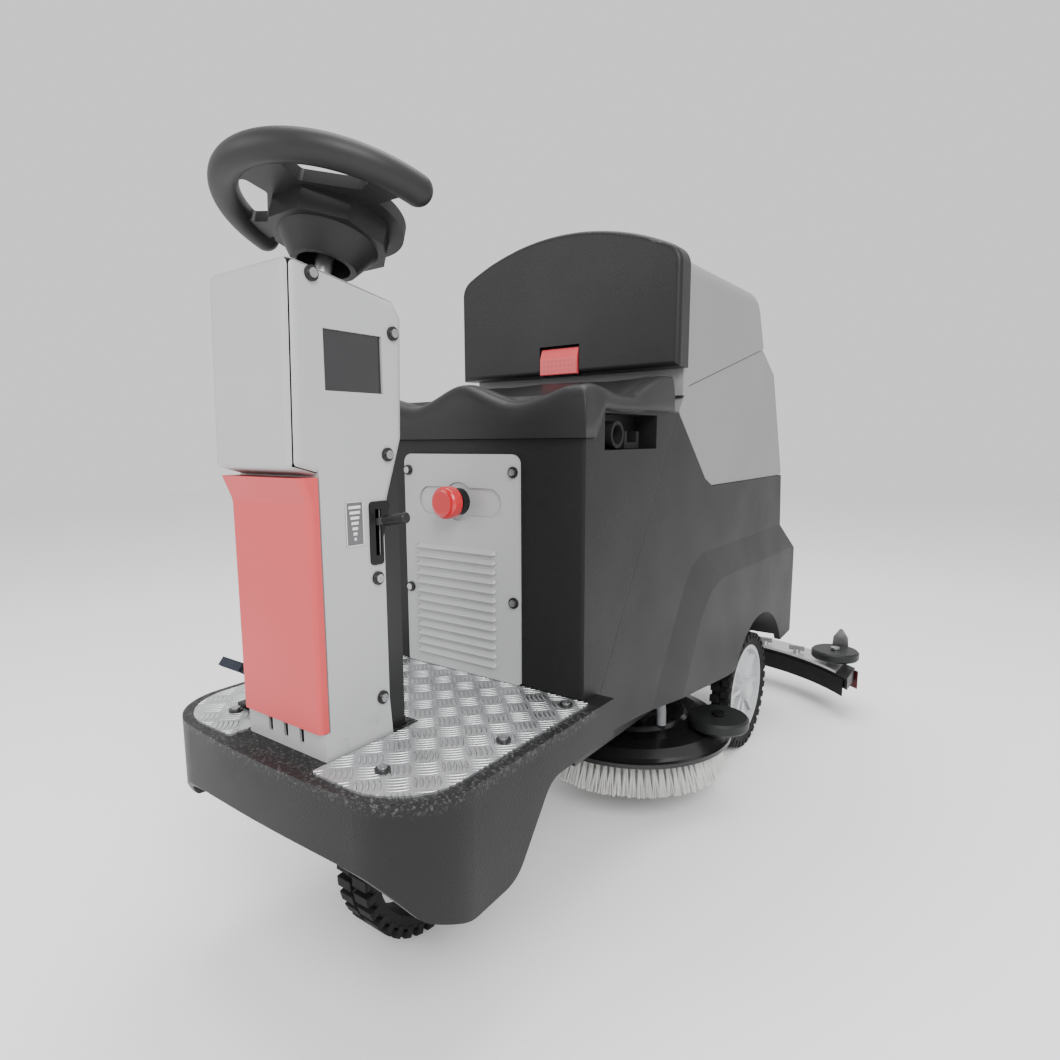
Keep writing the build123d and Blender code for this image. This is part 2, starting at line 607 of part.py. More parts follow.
def chain_loop(spread):
    small = Pos(0, COUPLING_STATION, CHAIN_LOW) * Circle(SMALL_SPROCKET + spread)
    large = Pos(0, DRIVE_STATION, CHAIN_LOW) * Circle(LARGE_SPROCKET + spread)
    return extrude(make_hull(small.edges() + large.edges()), amount=CHAIN_HEIGHT)


def steering_chain():
    return chain_loop(6) - chain_loop(0.5)


# ---- Front drive unit ----
STEM_RADIUS = 20.0
FORK_TOP = 286.0
FORK_PLATE = 10.0
FORK_AXLE = 10.0


def steering_fork():
    fork = upright(0, DRIVE_STATION, (FORK_TOP - FORK_PLATE, FORK_TOP), 62)
    fork += upright(0, DRIVE_STATION, (FORK_TOP, NECK_HIGH + 10), STEM_RADIUS)
    for side in (-1, 1):
        low, high = sorted((side * 36, side * 46))
        leg = box((low, high), (DRIVE_STATION - 26, DRIVE_STATION + 26), (DRIVE_RADIUS, FORK_TOP - 5))
        leg += crosswise((low, high), DRIVE_STATION, DRIVE_RADIUS, 26)
        fork += leg
    fork += crosswise((-46, 46), DRIVE_STATION, DRIVE_RADIUS, FORK_AXLE)
    return fork


def turntable_bearing():
    ring = upright(0, DRIVE_STATION, (CHAIN_LOW + CHAIN_HEIGHT + 2, NECK_LOW), 46)
    return ring - upright(0, DRIVE_STATION, (290, 330), STEM_RADIUS + SHAFT_PLAY)


def drive_tyre():
    half = DRIVE_WIDTH / 2
    profile = [(92, -half + 3), (126, -half), (DRIVE_RADIUS, -half + 9), (DRIVE_RADIUS, half - 9), (126, half),
               (92, half - 3)]
    return wheel_lathe(profile, 0, DRIVE_STATION, DRIVE_RADIUS)


def drive_hub_motor():
    half = DRIVE_WIDTH / 2 - 2
    bore = FORK_AXLE + RUNNING_PLAY
    profile = [(bore, -half - 3), (40, -half - 3), (44, -half), (84, -half), (91.9, -half + 3), (91.9, half - 3),
               (84, half), (44, half), (40, half + 3), (bore, half + 3)]
    return wheel_lathe(profile, 0, DRIVE_STATION, DRIVE_RADIUS)


# ---- Rear wheels ----
def rear_axle():
    reach = REAR_OUTER - 2
    return crosswise((-reach, reach), REAR_STATION, AXLE_HEIGHT, AXLE_RADIUS)


def rear_tyre(side):
    half = REAR_WIDTH / 2
    profile = [(RIM_SEAT, -half + 4), (126, -half), (REAR_RADIUS, -half + 6), (REAR_RADIUS, half - 6), (126, half),
               (RIM_SEAT, half - 4)]
    return wheel_lathe(profile, side * (REAR_OUTER - half), REAR_STATION, AXLE_HEIGHT)


def rear_rim(side):
    half = REAR_WIDTH / 2 - 5
    bore = AXLE_RADIUS + RUNNING_PLAY
    ring = Cylinder(RIM_SEAT - 0.1, 2 * half) - Cylinder(RIM_SEAT - 9, 60)
    hub = Pos(0, 0, 2) * Cylinder(26, 2 * half + 10)
    web = Cylinder(RIM_SEAT - 5, 5) - Cylinder(20, 60)
    spokes = Part()
    for index in range(8):
        blade = Pos(60, 0, 3) * Rot(24, 0, 0) * Box(78, 7, 22)
        spokes += Rot(0, 0, 45 * index) * blade
    rim = ring + hub + web + (spokes & Cylinder(RIM_SEAT - 5, 2 * half))
    rim -= Cylinder(bore, 80)
    cap = Pos(0, 0, half + 7) * Cylinder(20, 5)
    cap = fillet(cap.edges().group_by(Axis.Z)[-1], 2)
    rim = rim + cap - Pos(0, 0, half + 2) * Cylinder(bore, 6)
    turn = 90 if side > 0 else -90
    return Pos(side * (REAR_OUTER - REAR_WIDTH / 2), REAR_STATION, AXLE_HEIGHT) * Rot(0, turn, 0) * rim


# ---- Brush deck ----
DECK_PIN = 7.0
DECK_TOP = DECK_RIM + 40.0


def deck_arm_places():
    """Each arm's place across the machine, and the side its ears stand on."""
    return [(BRUSH_X + side * DECK_ARM_SPREAD, side) for side in (-1, 1)]


def brush_deck():
    r = DECK_RADIUS
    low = DECK_RIM
    profile = [
        (62, DECK_TOP), (110, DECK_TOP), (116, DECK_TOP - 7), (150, DECK_TOP - 8), (176, DECK_TOP - 14),
        (190, DECK_TOP - 26), (r - 6, low + 10), (r, low + 8), (r, low), (r - 5, low), (r - 10, low + 5),
        (184, DECK_TOP - 30), (172, DECK_TOP - 19), (148, DECK_TOP - 13), (108, DECK_TOP - 12),
        (104, DECK_TOP - 5), (62, DECK_TOP - 5),
    ]
    deck = lathe(profile, BRUSH_X, BRUSH_STATION)
    for x, side in deck_arm_places():
        low, high = span(side, 7, 12)
        ear = box((x + low, x + high), (DECK_PIVOT_STATION - 12, DECK_PIVOT_STATION + 12),
                  (DECK_TOP - 8, DECK_PIVOT_HEIGHT + 11))
        low, high = span(side, -7, 10)
        deck += ear + crosswise((x + low, x + high), DECK_PIVOT_STATION, DECK_PIVOT_HEIGHT, DECK_PIN)
    x, y = ROLLER_PLACE
    top = ROLLER_LOW + ROLLER_THICK
    deck += box((BRUSH_X + 150, x + 14), (y - 14, y + 14), (ROLLER_LOW - 7, ROLLER_LOW - 1.5))
    deck += upright(x, y, (DECK_TOP - 24, top + 4), 7)
    deck += upright(x, y, (top + 1.5, top + 6), 12)
    deck += upright(HOSE_PLACE[0], HOSE_PLACE[1], (DECK_TOP - 14, DECK_TOP + 2), 7)
    return deck


HOSE_PLACE = (150.0, 736.0)
ROLLER_PLACE = (234.0, 810.0)
ROLLER_LOW = 158.0


def bumper_roller(x, y, low):
    profile = [(7.4, low), (ROLLER_RADIUS - 3, low), (ROLLER_RADIUS, low + 4), (ROLLER_RADIUS, low + ROLLER_THICK - 4),
               (ROLLER_RADIUS - 4, low + ROLLER_THICK), (7.4, low + ROLLER_THICK)]
    return lathe(profile, x, y)


def deck_roller():
    return bumper_roller(ROLLER_PLACE[0], ROLLER_PLACE[1], ROLLER_LOW)


def brush_motor():
    low = DECK_TOP
    motor = upright(BRUSH_X, BRUSH_STATION, (low, low + 8), 68)
    motor += upright(BRUSH_X, BRUSH_STATION, (low + 8, low + 44), 56)
    motor += upright(BRUSH_X, BRUSH_STATION, (low + 44, low + 130), 48)
    motor += upright(BRUSH_X, BRUSH_STATION, (BRUSH_TOP, low), 14)
    return motor


BRUSH_TOP = BRUSH_FLOOR + BRISTLE_LENGTH + 18.0


def brush_disc():
    top = BRUSH_TOP - 0.5
    low = BRUSH_FLOOR + BRISTLE_LENGTH
    block = upright(BRUSH_X, BRUSH_STATION, (low, top), BRUSH_RADIUS - 14)
    block -= upright(BRUSH_X, BRUSH_STATION, (low - 1, top - 6), 50)
    return block


def brush_bristles():
    low = BRUSH_FLOOR
    high = BRUSH_FLOOR + BRISTLE_LENGTH
    profile = [(58, high), (60, low), (BRUSH_RADIUS, low), (BRUSH_RADIUS - 18, high)]
    return lathe(profile, BRUSH_X, BRUSH_STATION)


def deck_lift_arm():
    """Two trailing arms joined by a cross tube, hinged on the chassis."""
    reach = DECK_ARM_SPREAD + 12
    arm = crosswise((BRUSH_X - reach, BRUSH_X + reach), DECK_ARM_STATION, DECK_ARM_HEIGHT, DECK_PIN)
    for x, side in deck_arm_places():
        at_pivot = Pos(x, DECK_ARM_STATION, DECK_ARM_HEIGHT) * Rot(-DECK_ARM_DROP, 0, 0)
        arm += at_pivot * Pos(0, DECK_ARM / 2, 0) * Box(8, DECK_ARM, 16)
        arm += crosswise((x - 4, x + 4), DECK_ARM_STATION, DECK_ARM_HEIGHT, 13)
        arm += crosswise((x - 4, x + 4), DECK_PIVOT_STATION, DECK_PIVOT_HEIGHT, 13)
    arm -= crosswise((-200, 200), DECK_PIVOT_STATION, DECK_PIVOT_HEIGHT, DECK_PIN + SHAFT_PLAY)
    return arm


def solution_hose():
    """Corrugated hose that feeds water to the middle of the deck."""
    x, y = HOSE_PLACE
    low = DECK_TOP + 2
    route = [(x, y, low), (x, y, low + 26), (x + 6, y - 20, low + 52), (x + 12, y - 40, low + 68),
             (x + 14, y - 50, low + 98)]
    path = hose_path("solution hose", route)
    return sweep(Plane(origin=path @ 0, z_dir=path % 0) * Circle(9), path=path)


# ---- Squeegee ----
SQUEEGEE_PIN = 8.0


def arc_band(inner, outer, z, half=SQUEEGEE_HALF):
    """A curved strip between two radii about the squeegee's centre, cut square at both ends."""
    ring = upright(0, ARC_CENTRE, z, outer) - upright(0, ARC_CENTRE, (z[0] - 1, z[1] + 1), inner)
    return ring & box((-half, half), (ARC_CENTRE, SQUEEGEE_REAR + 50), z)


BEAM_LOW = BLADE_LOW + 54.0


def squeegee_beam():
    """Cast aluminium top plate; the suction port in its middle is also its swing pivot."""
    beam = arc_band(SQUEEGEE_ARC - 84, SQUEEGEE_ARC - 6, (BEAM_LOW, BEAM_LOW + 6), SQUEEGEE_HALF - 40)
    beam += upright(0, PORT_STATION, (BEAM_LOW - 12, PORT_STEP), PORT_RADIUS)
    beam += upright(0, PORT_STATION, (PORT_STEP - 4, PORT_STEP), PORT_RADIUS + 3)
    beam += upright(0, PORT_STATION, (PORT_STEP, PORT_STEP + 22), HOSE_BORE - RUNNING_PLAY)
    return beam - upright(0, PORT_STATION, (BEAM_LOW - 14, PORT_STEP + 30), HOSE_BORE - 3)


PORT_STATION = SQUEEGEE_REAR - 50
PORT_RADIUS = 24.0
PORT_STEP = BEAM_LOW + 24
HOSE_BORE = 18.0
HOSE_RADIUS = 22.0


def squeegee_carrier():
    """Black moulding under the beam that holds both blades, with closed ends."""
    shell = arc_band(SQUEEGEE_ARC - 76, SQUEEGEE_ARC - 8, (BLADE_LOW + 22, BEAM_LOW), SQUEEGEE_HALF - 8)
    shell -= arc_band(SQUEEGEE_ARC - 70, SQUEEGEE_ARC - 14, (BLADE_LOW + 10, BEAM_LOW - 5), SQUEEGEE_HALF - 16)
    return shell - upright(0, PORT_STATION, (BEAM_LOW - 14, BEAM_LOW + 2), PORT_RADIUS + 0.02)


def squeegee_blade(rear):
    if rear:
        blade = arc_band(SQUEEGEE_ARC - 7.5, SQUEEGEE_ARC - 3, (BLADE_LOW, BLADE_LOW + 46), SQUEEGEE_HALF)
    else:
        blade = arc_band(SQUEEGEE_ARC - 80, SQUEEGEE_ARC - 76.5, (BLADE_LOW + 1, BLADE_LOW + 44), SQUEEGEE_HALF - 20)
    return blade


SQUEEGEE_ROLLER = (309.0, 1466.0)
SQUEEGEE_ROLLER_LOW = BEAM_LOW + 20.0


def squeegee_roller(side):
    return bumper_roller(side * SQUEEGEE_ROLLER[0], SQUEEGEE_ROLLER[1], SQUEEGEE_ROLLER_LOW)


def squeegee_fittings():
    """Roller brackets with their bolts, and the wing knobs that clamp the blade strips."""
    pieces = []
    for side in (-1, 1):
        x, y = side * SQUEEGEE_ROLLER[0], SQUEEGEE_ROLLER[1]
        low = SQUEEGEE_ROLLER_LOW
        strap = box((x - 16, x + 16), (y - 16, y + 30), (BEAM_LOW + 6, BEAM_LOW + 11))
        strap += upright(x, y, (BEAM_LOW + 11, low - 1.5), 12)
        strap += upright(x, y, (low - 2, low + ROLLER_THICK + 5), 7)
        strap += upright(x, y, (low + ROLLER_THICK + 1.5, low + ROLLER_THICK + 6), 11)
        pieces.append(strap)
        foot = (SQUEEGEE_ROLLER[1] + ROLLER_RADIUS + 5)
        ear = front_prism([(x - 22, BEAM_LOW + 6), (x + 22, BEAM_LOW + 6), (x + 18, BEAM_LOW + 60), (x, BEAM_LOW + 88),
                           (x - 18, BEAM_LOW + 60)], (foot, foot + 4), [2, 2, 6, 6, 6])
        ear -= lengthwise(x, (foot - 5, foot + 10), BEAM_LOW + 70, 5)
        ear += lengthwise(x, (foot - 6, foot + 10), BEAM_LOW + 70, 5) + lengthwise(x, (foot - 8, foot - 4), BEAM_LOW + 70, 9)
        pieces.append(ear)
    for x in (-205, -110, 110, 205):
        y = ARC_CENTRE + math.sqrt((SQUEEGEE_ARC - 62) ** 2 - x ** 2)
        knob = upright(x, y, (BEAM_LOW + 6, BEAM_LOW + 16), 9) + box((x - 20, x + 20), (y - 4, y + 4), (BEAM_LOW + 12, BEAM_LOW + 24))
        pieces.append(knob)
    return pieces


def squeegee_yoke():
    """Ring round the suction port, on two cheeks that stay level while the arm moves."""
    low = BEAM_LOW + 6 + GAP
    high = PORT_STEP - 4 - GAP
    yoke = box((-26, 26), (YOKE_STATION - 14, PORT_STATION), (low, high))
    yoke += upright(0, PORT_STATION, (low, high), PORT_RADIUS + 12)
    yoke -= upright(0, PORT_STATION, (low - 5, high + 20), PORT_RADIUS + RUNNING_PLAY)
    for side in (-1, 1):
        yoke += box(span(side, 23, 28), (YOKE_STATION - 14, YOKE_STATION + 14), (low, YOKE_HEIGHT + 13))
    return yoke - crosswise((-60, 60), YOKE_STATION, YOKE_HEIGHT, SQUEEGEE_PIN + SHAFT_PLAY)


def squeegee_arm():
    """Two bars on stub pins, joined at the rear by the pin that carries the yoke."""
    arm = crosswise((-38, 38), YOKE_STATION, YOKE_HEIGHT, SQUEEGEE_PIN)
    for side in (-1, 1):
        at_pivot = Pos(side * 34, SQUEEGEE_ARM_STATION, SQUEEGEE_ARM_HEIGHT) * Rot(-SQUEEGEE_ARM_DROP, 0, 0)
        arm += at_pivot * Pos(0, SQUEEGEE_ARM / 2, 0) * Box(8, SQUEEGEE_ARM, 20)
        arm += crosswise(span(side, 30, 38), SQUEEGEE_ARM_STATION, SQUEEGEE_ARM_HEIGHT, 14)
        arm += crosswise(span(side, 30, 38), YOKE_STATION, YOKE_HEIGHT, 13)
        arm += crosswise(span(side, 32, 54), SQUEEGEE_ARM_STATION, SQUEEGEE_ARM_HEIGHT, SQUEEGEE_PIN)
    return arm


def vacuum_hose():
    """Suction hose from the squeegee's port, over the arm and into the tail of the body."""
    low = PORT_STEP + GAP
    route = [(0, PORT_STATION, low), (0, PORT_STATION, low + 46), (0, PORT_STATION - 34, low + 88),
             (0, PORT_STATION - 88, low + 104), (0, PORT_STATION - 146, low + 106),
             (0, PORT_STATION - 190, low + 126), (0, PORT_STATION - 204, low + 160)]
    path = hose_path("vacuum hose", route)
    start = Plane(origin=path @ 0, z_dir=path % 0)
    return sweep(start * Circle(HOSE_RADIUS), path=path) - sweep(start * Circle(HOSE_BORE), path=path)


# ---- Front panel and stop button ----
STOP_HEIGHT = 619.0
PANEL_HALF = 111.0
PANEL_TOP = 689.0
PANEL_THICK = 5.0


def panel_screw_places():
    return [(-102, 664), (102, 664), (-102, 478), (102, 478)]


def front_panel():
    low = PLATFORM_TOP + PLATE_THICK + GAP
    outline = [(-PANEL_HALF, low), (PANEL_HALF, low), (PANEL_HALF, PANEL_TOP), (-PANEL_HALF, PANEL_TOP)]
    panel = front_prism(outline, (BODY_FRONT - PANEL_THICK, BODY_FRONT), [3, 3, 14, 14])
    bowl = front_prism([(-80, STOP_HEIGHT - 21), (80, STOP_HEIGHT - 21), (80, STOP_HEIGHT + 21),
                        (-80, STOP_HEIGHT + 21)], (BODY_FRONT - 8, BODY_FRONT - 2), 20.9)
    bowl += lengthwise(0, (BODY_FRONT - 8, BODY_FRONT - 2), STOP_HEIGHT, 29)
    panel -= bowl
    panel -= lengthwise(0, (BODY_FRONT - 10, BODY_FRONT + 5), STOP_HEIGHT, STOP_STEM + 2)
    for index in range(13):
        z = 546 - 14 * index
        slot = front_prism([(-90, z), (-84, z - 4), (66, z - 4), (72, z), (66, z + 4), (-84, z + 4)],
                           (BODY_FRONT - 10, BODY_FRONT + 5), 1)
        panel -= slot
    for x, z in panel_screw_places():
        panel -= lengthwise(x, (BODY_FRONT - 10, BODY_FRONT + 5), z, SCREW_HOLE)
    return panel


def front_panel_screws():
    face = BODY_FRONT - PANEL_THICK
    return [Pos(x, face, z) * Rot(90, 0, 0) * cap_screw(8, 16) for x, z in panel_screw_places()]


STOP_STEM = 11.0
STOP_TRAVEL = 6.0


def stop_button_collar():
    ring = lengthwise(0, (BODY_FRONT - 16, BODY_FRONT - 2), STOP_HEIGHT, 20)
    ring += lengthwise(0, (BODY_FRONT - 2, BODY_FRONT + 40), STOP_HEIGHT, STOP_STEM + 1.8)
    return ring - lengthwise(0, (BODY_FRONT - 20, BODY_FRONT + 30), STOP_HEIGHT, STOP_STEM - 3 + SHAFT_PLAY)


def stop_button():
    face = BODY_FRONT - 16
    head = lengthwise(0, (face - STOP_TRAVEL - 20, face - STOP_TRAVEL - 1), STOP_HEIGHT, 24)
    head = fillet(head.edges().group_by(Axis.Y)[0], 8)
    stem = lengthwise(0, (face - STOP_TRAVEL - 2, BODY_FRONT + 16), STOP_HEIGHT, STOP_STEM - 3)
    return head + stem


# ---- Seat ----
SEAT_HALF = 220.0


def seat():
    low = SEAT_LEDGE + GAP
    side = BODY_TOP + GAP
    outline = [(322, low), (350, low), (373, side), (597, side), (597, 806), (560, 800), (400, 780), (340, 780), (322, 768)]
    cushion = side_prism(outline, (-SEAT_HALF, SEAT_HALF), [4, 0, 0, 3, 6, 20, 60, 12, 6])
    hollow = [(330, low - 5), (352, low - 5), (377, side - 5), (590, side - 5), (590, 795), (560, 792), (400, 772), (345, 772)]
    return cushion - side_prism(hollow, (-SEAT_HALF + 8, SEAT_HALF - 8))


# ---- Recovery tank and lid ----
def split_height(station):
    return SPLIT_FRONT + (station - 667) * (SPLIT_REAR - SPLIT_FRONT) / (LID_REAR - 667)


TANK_HALF = 212.0
LID_SKIN = 4.0


def recovery_tank():
    outline = [(632, BODY_TOP + 2 * GAP), (759, TANK_LEDGE + 14), (791, TANK_LEDGE + GAP), (1230, TANK_LEDGE + GAP),
               (1234, 634), (1146, 845), (LID_REAR, SPLIT_REAR - GAP), (667, SPLIT_FRONT - GAP), (646, 771)]
    tank = side_prism(outline, (-TANK_HALF, TANK_HALF), [4, 12, 6, 4, 4, 14, 4, 4, 8])
    inner = inset(outline, LID_SKIN)
    room = side_prism(inner, (-TANK_HALF + LID_SKIN, TANK_HALF - LID_SKIN))
    neck = side_prism([(700, 720), (1030, 720), (1030, 920), (700, 860)], (-TANK_HALF + 24, TANK_HALF - 24))
    return tank - room - neck


def arch_outline(half, crown, shoulder, low):
    """Front outline of the lid: upright sides under a wide arch."""
    edge = [
        Line((-half, 0, low), (half, 0, low)),
        Line((half, 0, low), (half, 0, shoulder)),
        ThreePointArc((half, 0, shoulder), (0, 0, crown), (-half, 0, shoulder)),
        Line((-half, 0, shoulder), (-half, 0, low)),
    ]
    face = make_face(edge)
    return fillet([v for v in face.vertices() if v.Z > low + 1], 34)


def lid_block(shrink, low_shift):
    half = LID_HALF - shrink
    solid = extrude(Pos(0, 500, 0) * arch_outline(half, CROWN - 8 - shrink, SHOULDER - 10 - shrink, 700), amount=700, dir=(0, 1, 0))
    front = COVER_FRONT + COVER_THICK + shrink
    low = GAP - low_shift
    outline = [(front, 778 + low), (650, 778 + low), (667, SPLIT_FRONT + low), (LID_REAR - shrink, SPLIT_REAR + low),
               (1024 - shrink, 962), (1000 - shrink, 992 - shrink), (960 - shrink, 1080), (front, 1080)]
    return solid & side_prism(outline, (-300, 300), [0, 0, 0, 2, 30, 24, 0, 0])


def tank_lid():
    lid = lid_block(0, 0) - lid_block(LID_SKIN, 12)
    return lid


def lid_front_cover():
    face = arch_outline(COVER_HALF, CROWN, SHOULDER, COVER_LOW)
    block = extrude(Pos(0, COVER_FRONT, 0) * face, amount=COVER_THICK - GAP, dir=(0, 1, 0))
    rim = block.faces().sort_by(Axis.Y)[0].edges()
    block = fillet(rim, 9)
    pocket = box((-LATCH_HALF - 3, LATCH_HALF + 3), (COVER_FRONT - 5, COVER_FRONT + 20), (COVER_LOW - 5, LATCH_TOP + 4))
    pin_holes = crosswise((-LATCH_HALF - 7, LATCH_HALF + 7), *LATCH_PIVOT, LATCH_PIN + RUNNING_PLAY)
    return block - pocket - pin_holes


LATCH_HALF = 38.0
LATCH_TOP = 868.0
LATCH_PIVOT = (612.0, 861.0)
LATCH_PIN = 2.5


def lid_latch():
    outline = [(COVER_FRONT - 3, COVER_LOW), (COVER_FRONT - 3, 850), (COVER_FRONT + 4, LATCH_TOP), (616, LATCH_TOP),
               (616, 858), (COVER_FRONT + 4, 850), (COVER_FRONT + 4, COVER_LOW)]
    latch = side_prism(outline, (-LATCH_HALF, LATCH_HALF), [2, 10, 4, 3, 3, 4, 2])
    return latch + crosswise((-LATCH_HALF - 6, LATCH_HALF + 6), *LATCH_PIVOT, LATCH_PIN)


def vacuum_motor():
    """Suction turbine, hung from the roof of the rear compartment."""
    roof = TANK_LEDGE - WALL
    turbine = upright(0, VACUUM_STATION, (roof - 46, roof), 64)
    turbine += upright(0, VACUUM_STATION, (roof - 112, roof - 46), 50)
    return turbine + upright(0, VACUUM_STATION, (roof - 120, roof - 112), 34)


VACUUM_STATION = 1000.0


# ---- Foot pedal ----
PEDAL_X = -132.0
PEDAL_PIVOT = (76.0, 372.0)
PEDAL_PIN = 4.0


def pedal_base():
    floor = PLATFORM_TOP + PLATE_THICK
    base = box((PEDAL_X - 22, PEDAL_X + 22), (42, 90), (floor, floor + 6))
    for side in (-1, 1):
        base += box((PEDAL_X + side * 19 - 3, PEDAL_X + side * 19 + 3), (66, 86), (floor, PEDAL_PIVOT[1] + 8))
    base += crosswise((PEDAL_X - 22, PEDAL_X + 22), PEDAL_PIVOT[0], PEDAL_PIVOT[1], PEDAL_PIN)
    return base


def foot_pedal():
    """Pad that slopes up to the front, with its boss on the pedal pin."""
    pad = Pos(0, -45, 8) * Box(46, 60, 7)
    pad += Pos(0, -72, 6) * Box(46, 6, 12)
    pad += Pos(0, -9, 5) * Box(28, 16, 9)
    pad = Rot(-40, 0, 0) * pad
    boss = crosswise((-14, 14), 0, 0, 9)
    pedal = pad + boss - crosswise((-40, 40), 0, 0, PEDAL_PIN + SHAFT_PLAY)
    return Pos(PEDAL_X, PEDAL_PIVOT[0], PEDAL_PIVOT[1]) * pedal


# ---- All sub-parts ----
def make_parts():
    parts = {
        "chassis_frame": chassis_frame(),
        "body_shell": body_shell(),
        "drain_hose_end": drain_hose_end(),
        "batteries": batteries(),
        "tread_plate": tread_plate(),
        "tread_plate_screws": tread_plate_screws(),
        "column_frame": column_frame(),
        "column_housing": column_housing(),
        "column_screws": column_screws(),
        "kick_panel": kick_panel(),
        "display_window": display_window(),
        "lever_plate": lever_plate(),
        "water_lever": water_lever(),
        "water_lever_knob": water_lever_knob(),
        "steering_wheel_top": steering_wheel_half(True),
        "steering_wheel_bottom": steering_wheel_half(False),
        "steering_shaft": steering_shaft(),
        "steering_bearing": steering_bearing(),
        "lower_steering_shaft": lower_steering_shaft(),
        "column_sprocket": column_sprocket(),
        "fork_sprocket": fork_sprocket(),
        "steering_chain": steering_chain(),
        "steering_fork": steering_fork(),
        "turntable_bearing": turntable_bearing(),
        "drive_tyre": drive_tyre(),
        "drive_hub_motor": drive_hub_motor(),
        "rear_axle": rear_axle(),
        "rear_tyre_left": rear_tyre(1),
        "rear_tyre_right": rear_tyre(-1),
        "rear_rim_left": rear_rim(1),
        "rear_rim_right": rear_rim(-1),
        "brush_deck": brush_deck(),
        "deck_roller": deck_roller(),
        "brush_motor": brush_motor(),
        "brush_disc": brush_disc(),
        "brush_bristles": brush_bristles(),
        "deck_lift_arm": deck_lift_arm(),
        "solution_hose": solution_hose(),
        "squeegee_beam": squeegee_beam(),
        "squeegee_carrier": squeegee_carrier(),
        "squeegee_blade_front": squeegee_blade(False),
        "squeegee_blade_rear": squeegee_blade(True),
        "squeegee_roller_left": squeegee_roller(1),
        "squeegee_roller_right": squeegee_roller(-1),
        "squeegee_fittings": squeegee_fittings(),
        "squeegee_yoke": squeegee_yoke(),
        "squeegee_arm": squeegee_arm(),
        "vacuum_hose": vacuum_hose(),
        "front_panel": front_panel(),
        "front_panel_screws": front_panel_screws(),
        "stop_button_collar": stop_button_collar(),
        "stop_button": stop_button(),
        "seat": seat(),
        "recovery_tank": recovery_tank(),
        "tank_lid": tank_lid(),
        "lid_front_cover": lid_front_cover(),
        "lid_latch": lid_latch(),
        "vacuum_motor": vacuum_motor(),
        "pedal_base": pedal_base(),
        "foot_pedal": foot_pedal(),
    }
    return {name: shape if isinstance(shape, list) else [shape] for name, shape in parts.items()}


def footprint_middle(parts):
    boxes = [piece.bounding_box() for pieces in parts.values() for piece in pieces]
    low = min(box.min.Y for box in boxes)
    high = max(box.max.Y for box in boxes)
    return (low + high) / 2


parts = make_parts()
middle = footprint_middle(parts)
os.makedirs("parts", exist_ok=True)
for name, pieces in parts.items():
    moved = [Pos(0, -middle, 0) * piece for piece in pieces]
    whole = moved[0] if len(moved) == 1 else Compound(children=moved)
    export_step(whole, f"parts/{name}.step")
print("parts:", len(parts), " station of the origin:", round(middle, 2))
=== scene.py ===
import json
import math
import random

import bmesh
import bpy
from mathutils import Matrix, Vector


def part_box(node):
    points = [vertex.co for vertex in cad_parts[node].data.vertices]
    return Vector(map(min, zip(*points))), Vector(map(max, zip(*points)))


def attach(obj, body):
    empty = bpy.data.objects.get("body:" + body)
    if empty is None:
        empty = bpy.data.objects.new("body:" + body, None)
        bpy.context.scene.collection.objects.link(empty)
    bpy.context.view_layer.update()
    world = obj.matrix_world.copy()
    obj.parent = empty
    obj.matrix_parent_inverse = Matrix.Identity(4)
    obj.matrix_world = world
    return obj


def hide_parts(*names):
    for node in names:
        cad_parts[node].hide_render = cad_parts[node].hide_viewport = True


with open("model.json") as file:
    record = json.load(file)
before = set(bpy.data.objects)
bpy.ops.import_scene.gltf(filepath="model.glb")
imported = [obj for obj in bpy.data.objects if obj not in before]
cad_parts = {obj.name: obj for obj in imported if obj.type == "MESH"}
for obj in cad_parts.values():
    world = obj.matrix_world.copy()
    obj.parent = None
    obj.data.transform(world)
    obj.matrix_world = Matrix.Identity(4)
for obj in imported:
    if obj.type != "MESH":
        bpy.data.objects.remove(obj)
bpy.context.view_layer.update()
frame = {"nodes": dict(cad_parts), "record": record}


# ---- Floor, light and camera ----
# A pale studio floor, a large soft key from the front left, a fill from the right and a pale sky.
class Wire:
    """One output socket of a material's nodes, with arithmetic written as Python expressions."""

    def __init__(self, paint, socket):
        self.paint = paint
        self.socket = socket

    def math(self, operation, *others):
        values = {index: value for index, value in enumerate((self, *others))}
        return self.paint.node("ShaderNodeMath", {"operation": operation}, values)

    def __add__(self, other):
        return self.math("ADD", other)

    __radd__ = __add__

    def __mul__(self, other):
        return self.math("MULTIPLY", other)

    __rmul__ = __mul__

    def __sub__(self, other):
        return self.math("SUBTRACT", other)

    def __rsub__(self, other):
        return self.paint.node("ShaderNodeMath", {"operation": "SUBTRACT"}, {0: other, 1: self})

    def __truediv__(self, other):
        return self.math("DIVIDE", other)

    def __neg__(self):
        return self * -1.0

    def power(self, exponent):
        return self.math("POWER", exponent)

    def absolute(self):
        return self.math("ABSOLUTE")

    def fraction(self):
        return self.math("FRACT")

    def above(self, limit):
        return self.math("GREATER_THAN", limit)

    def ramp(self, low, high):
        """0 below low, 1 above high, smooth between."""
        return self.paint.node("ShaderNodeMapRange", {"interpolation_type": "SMOOTHSTEP"},
                               {"Value": self, "From Min": low, "From Max": high})


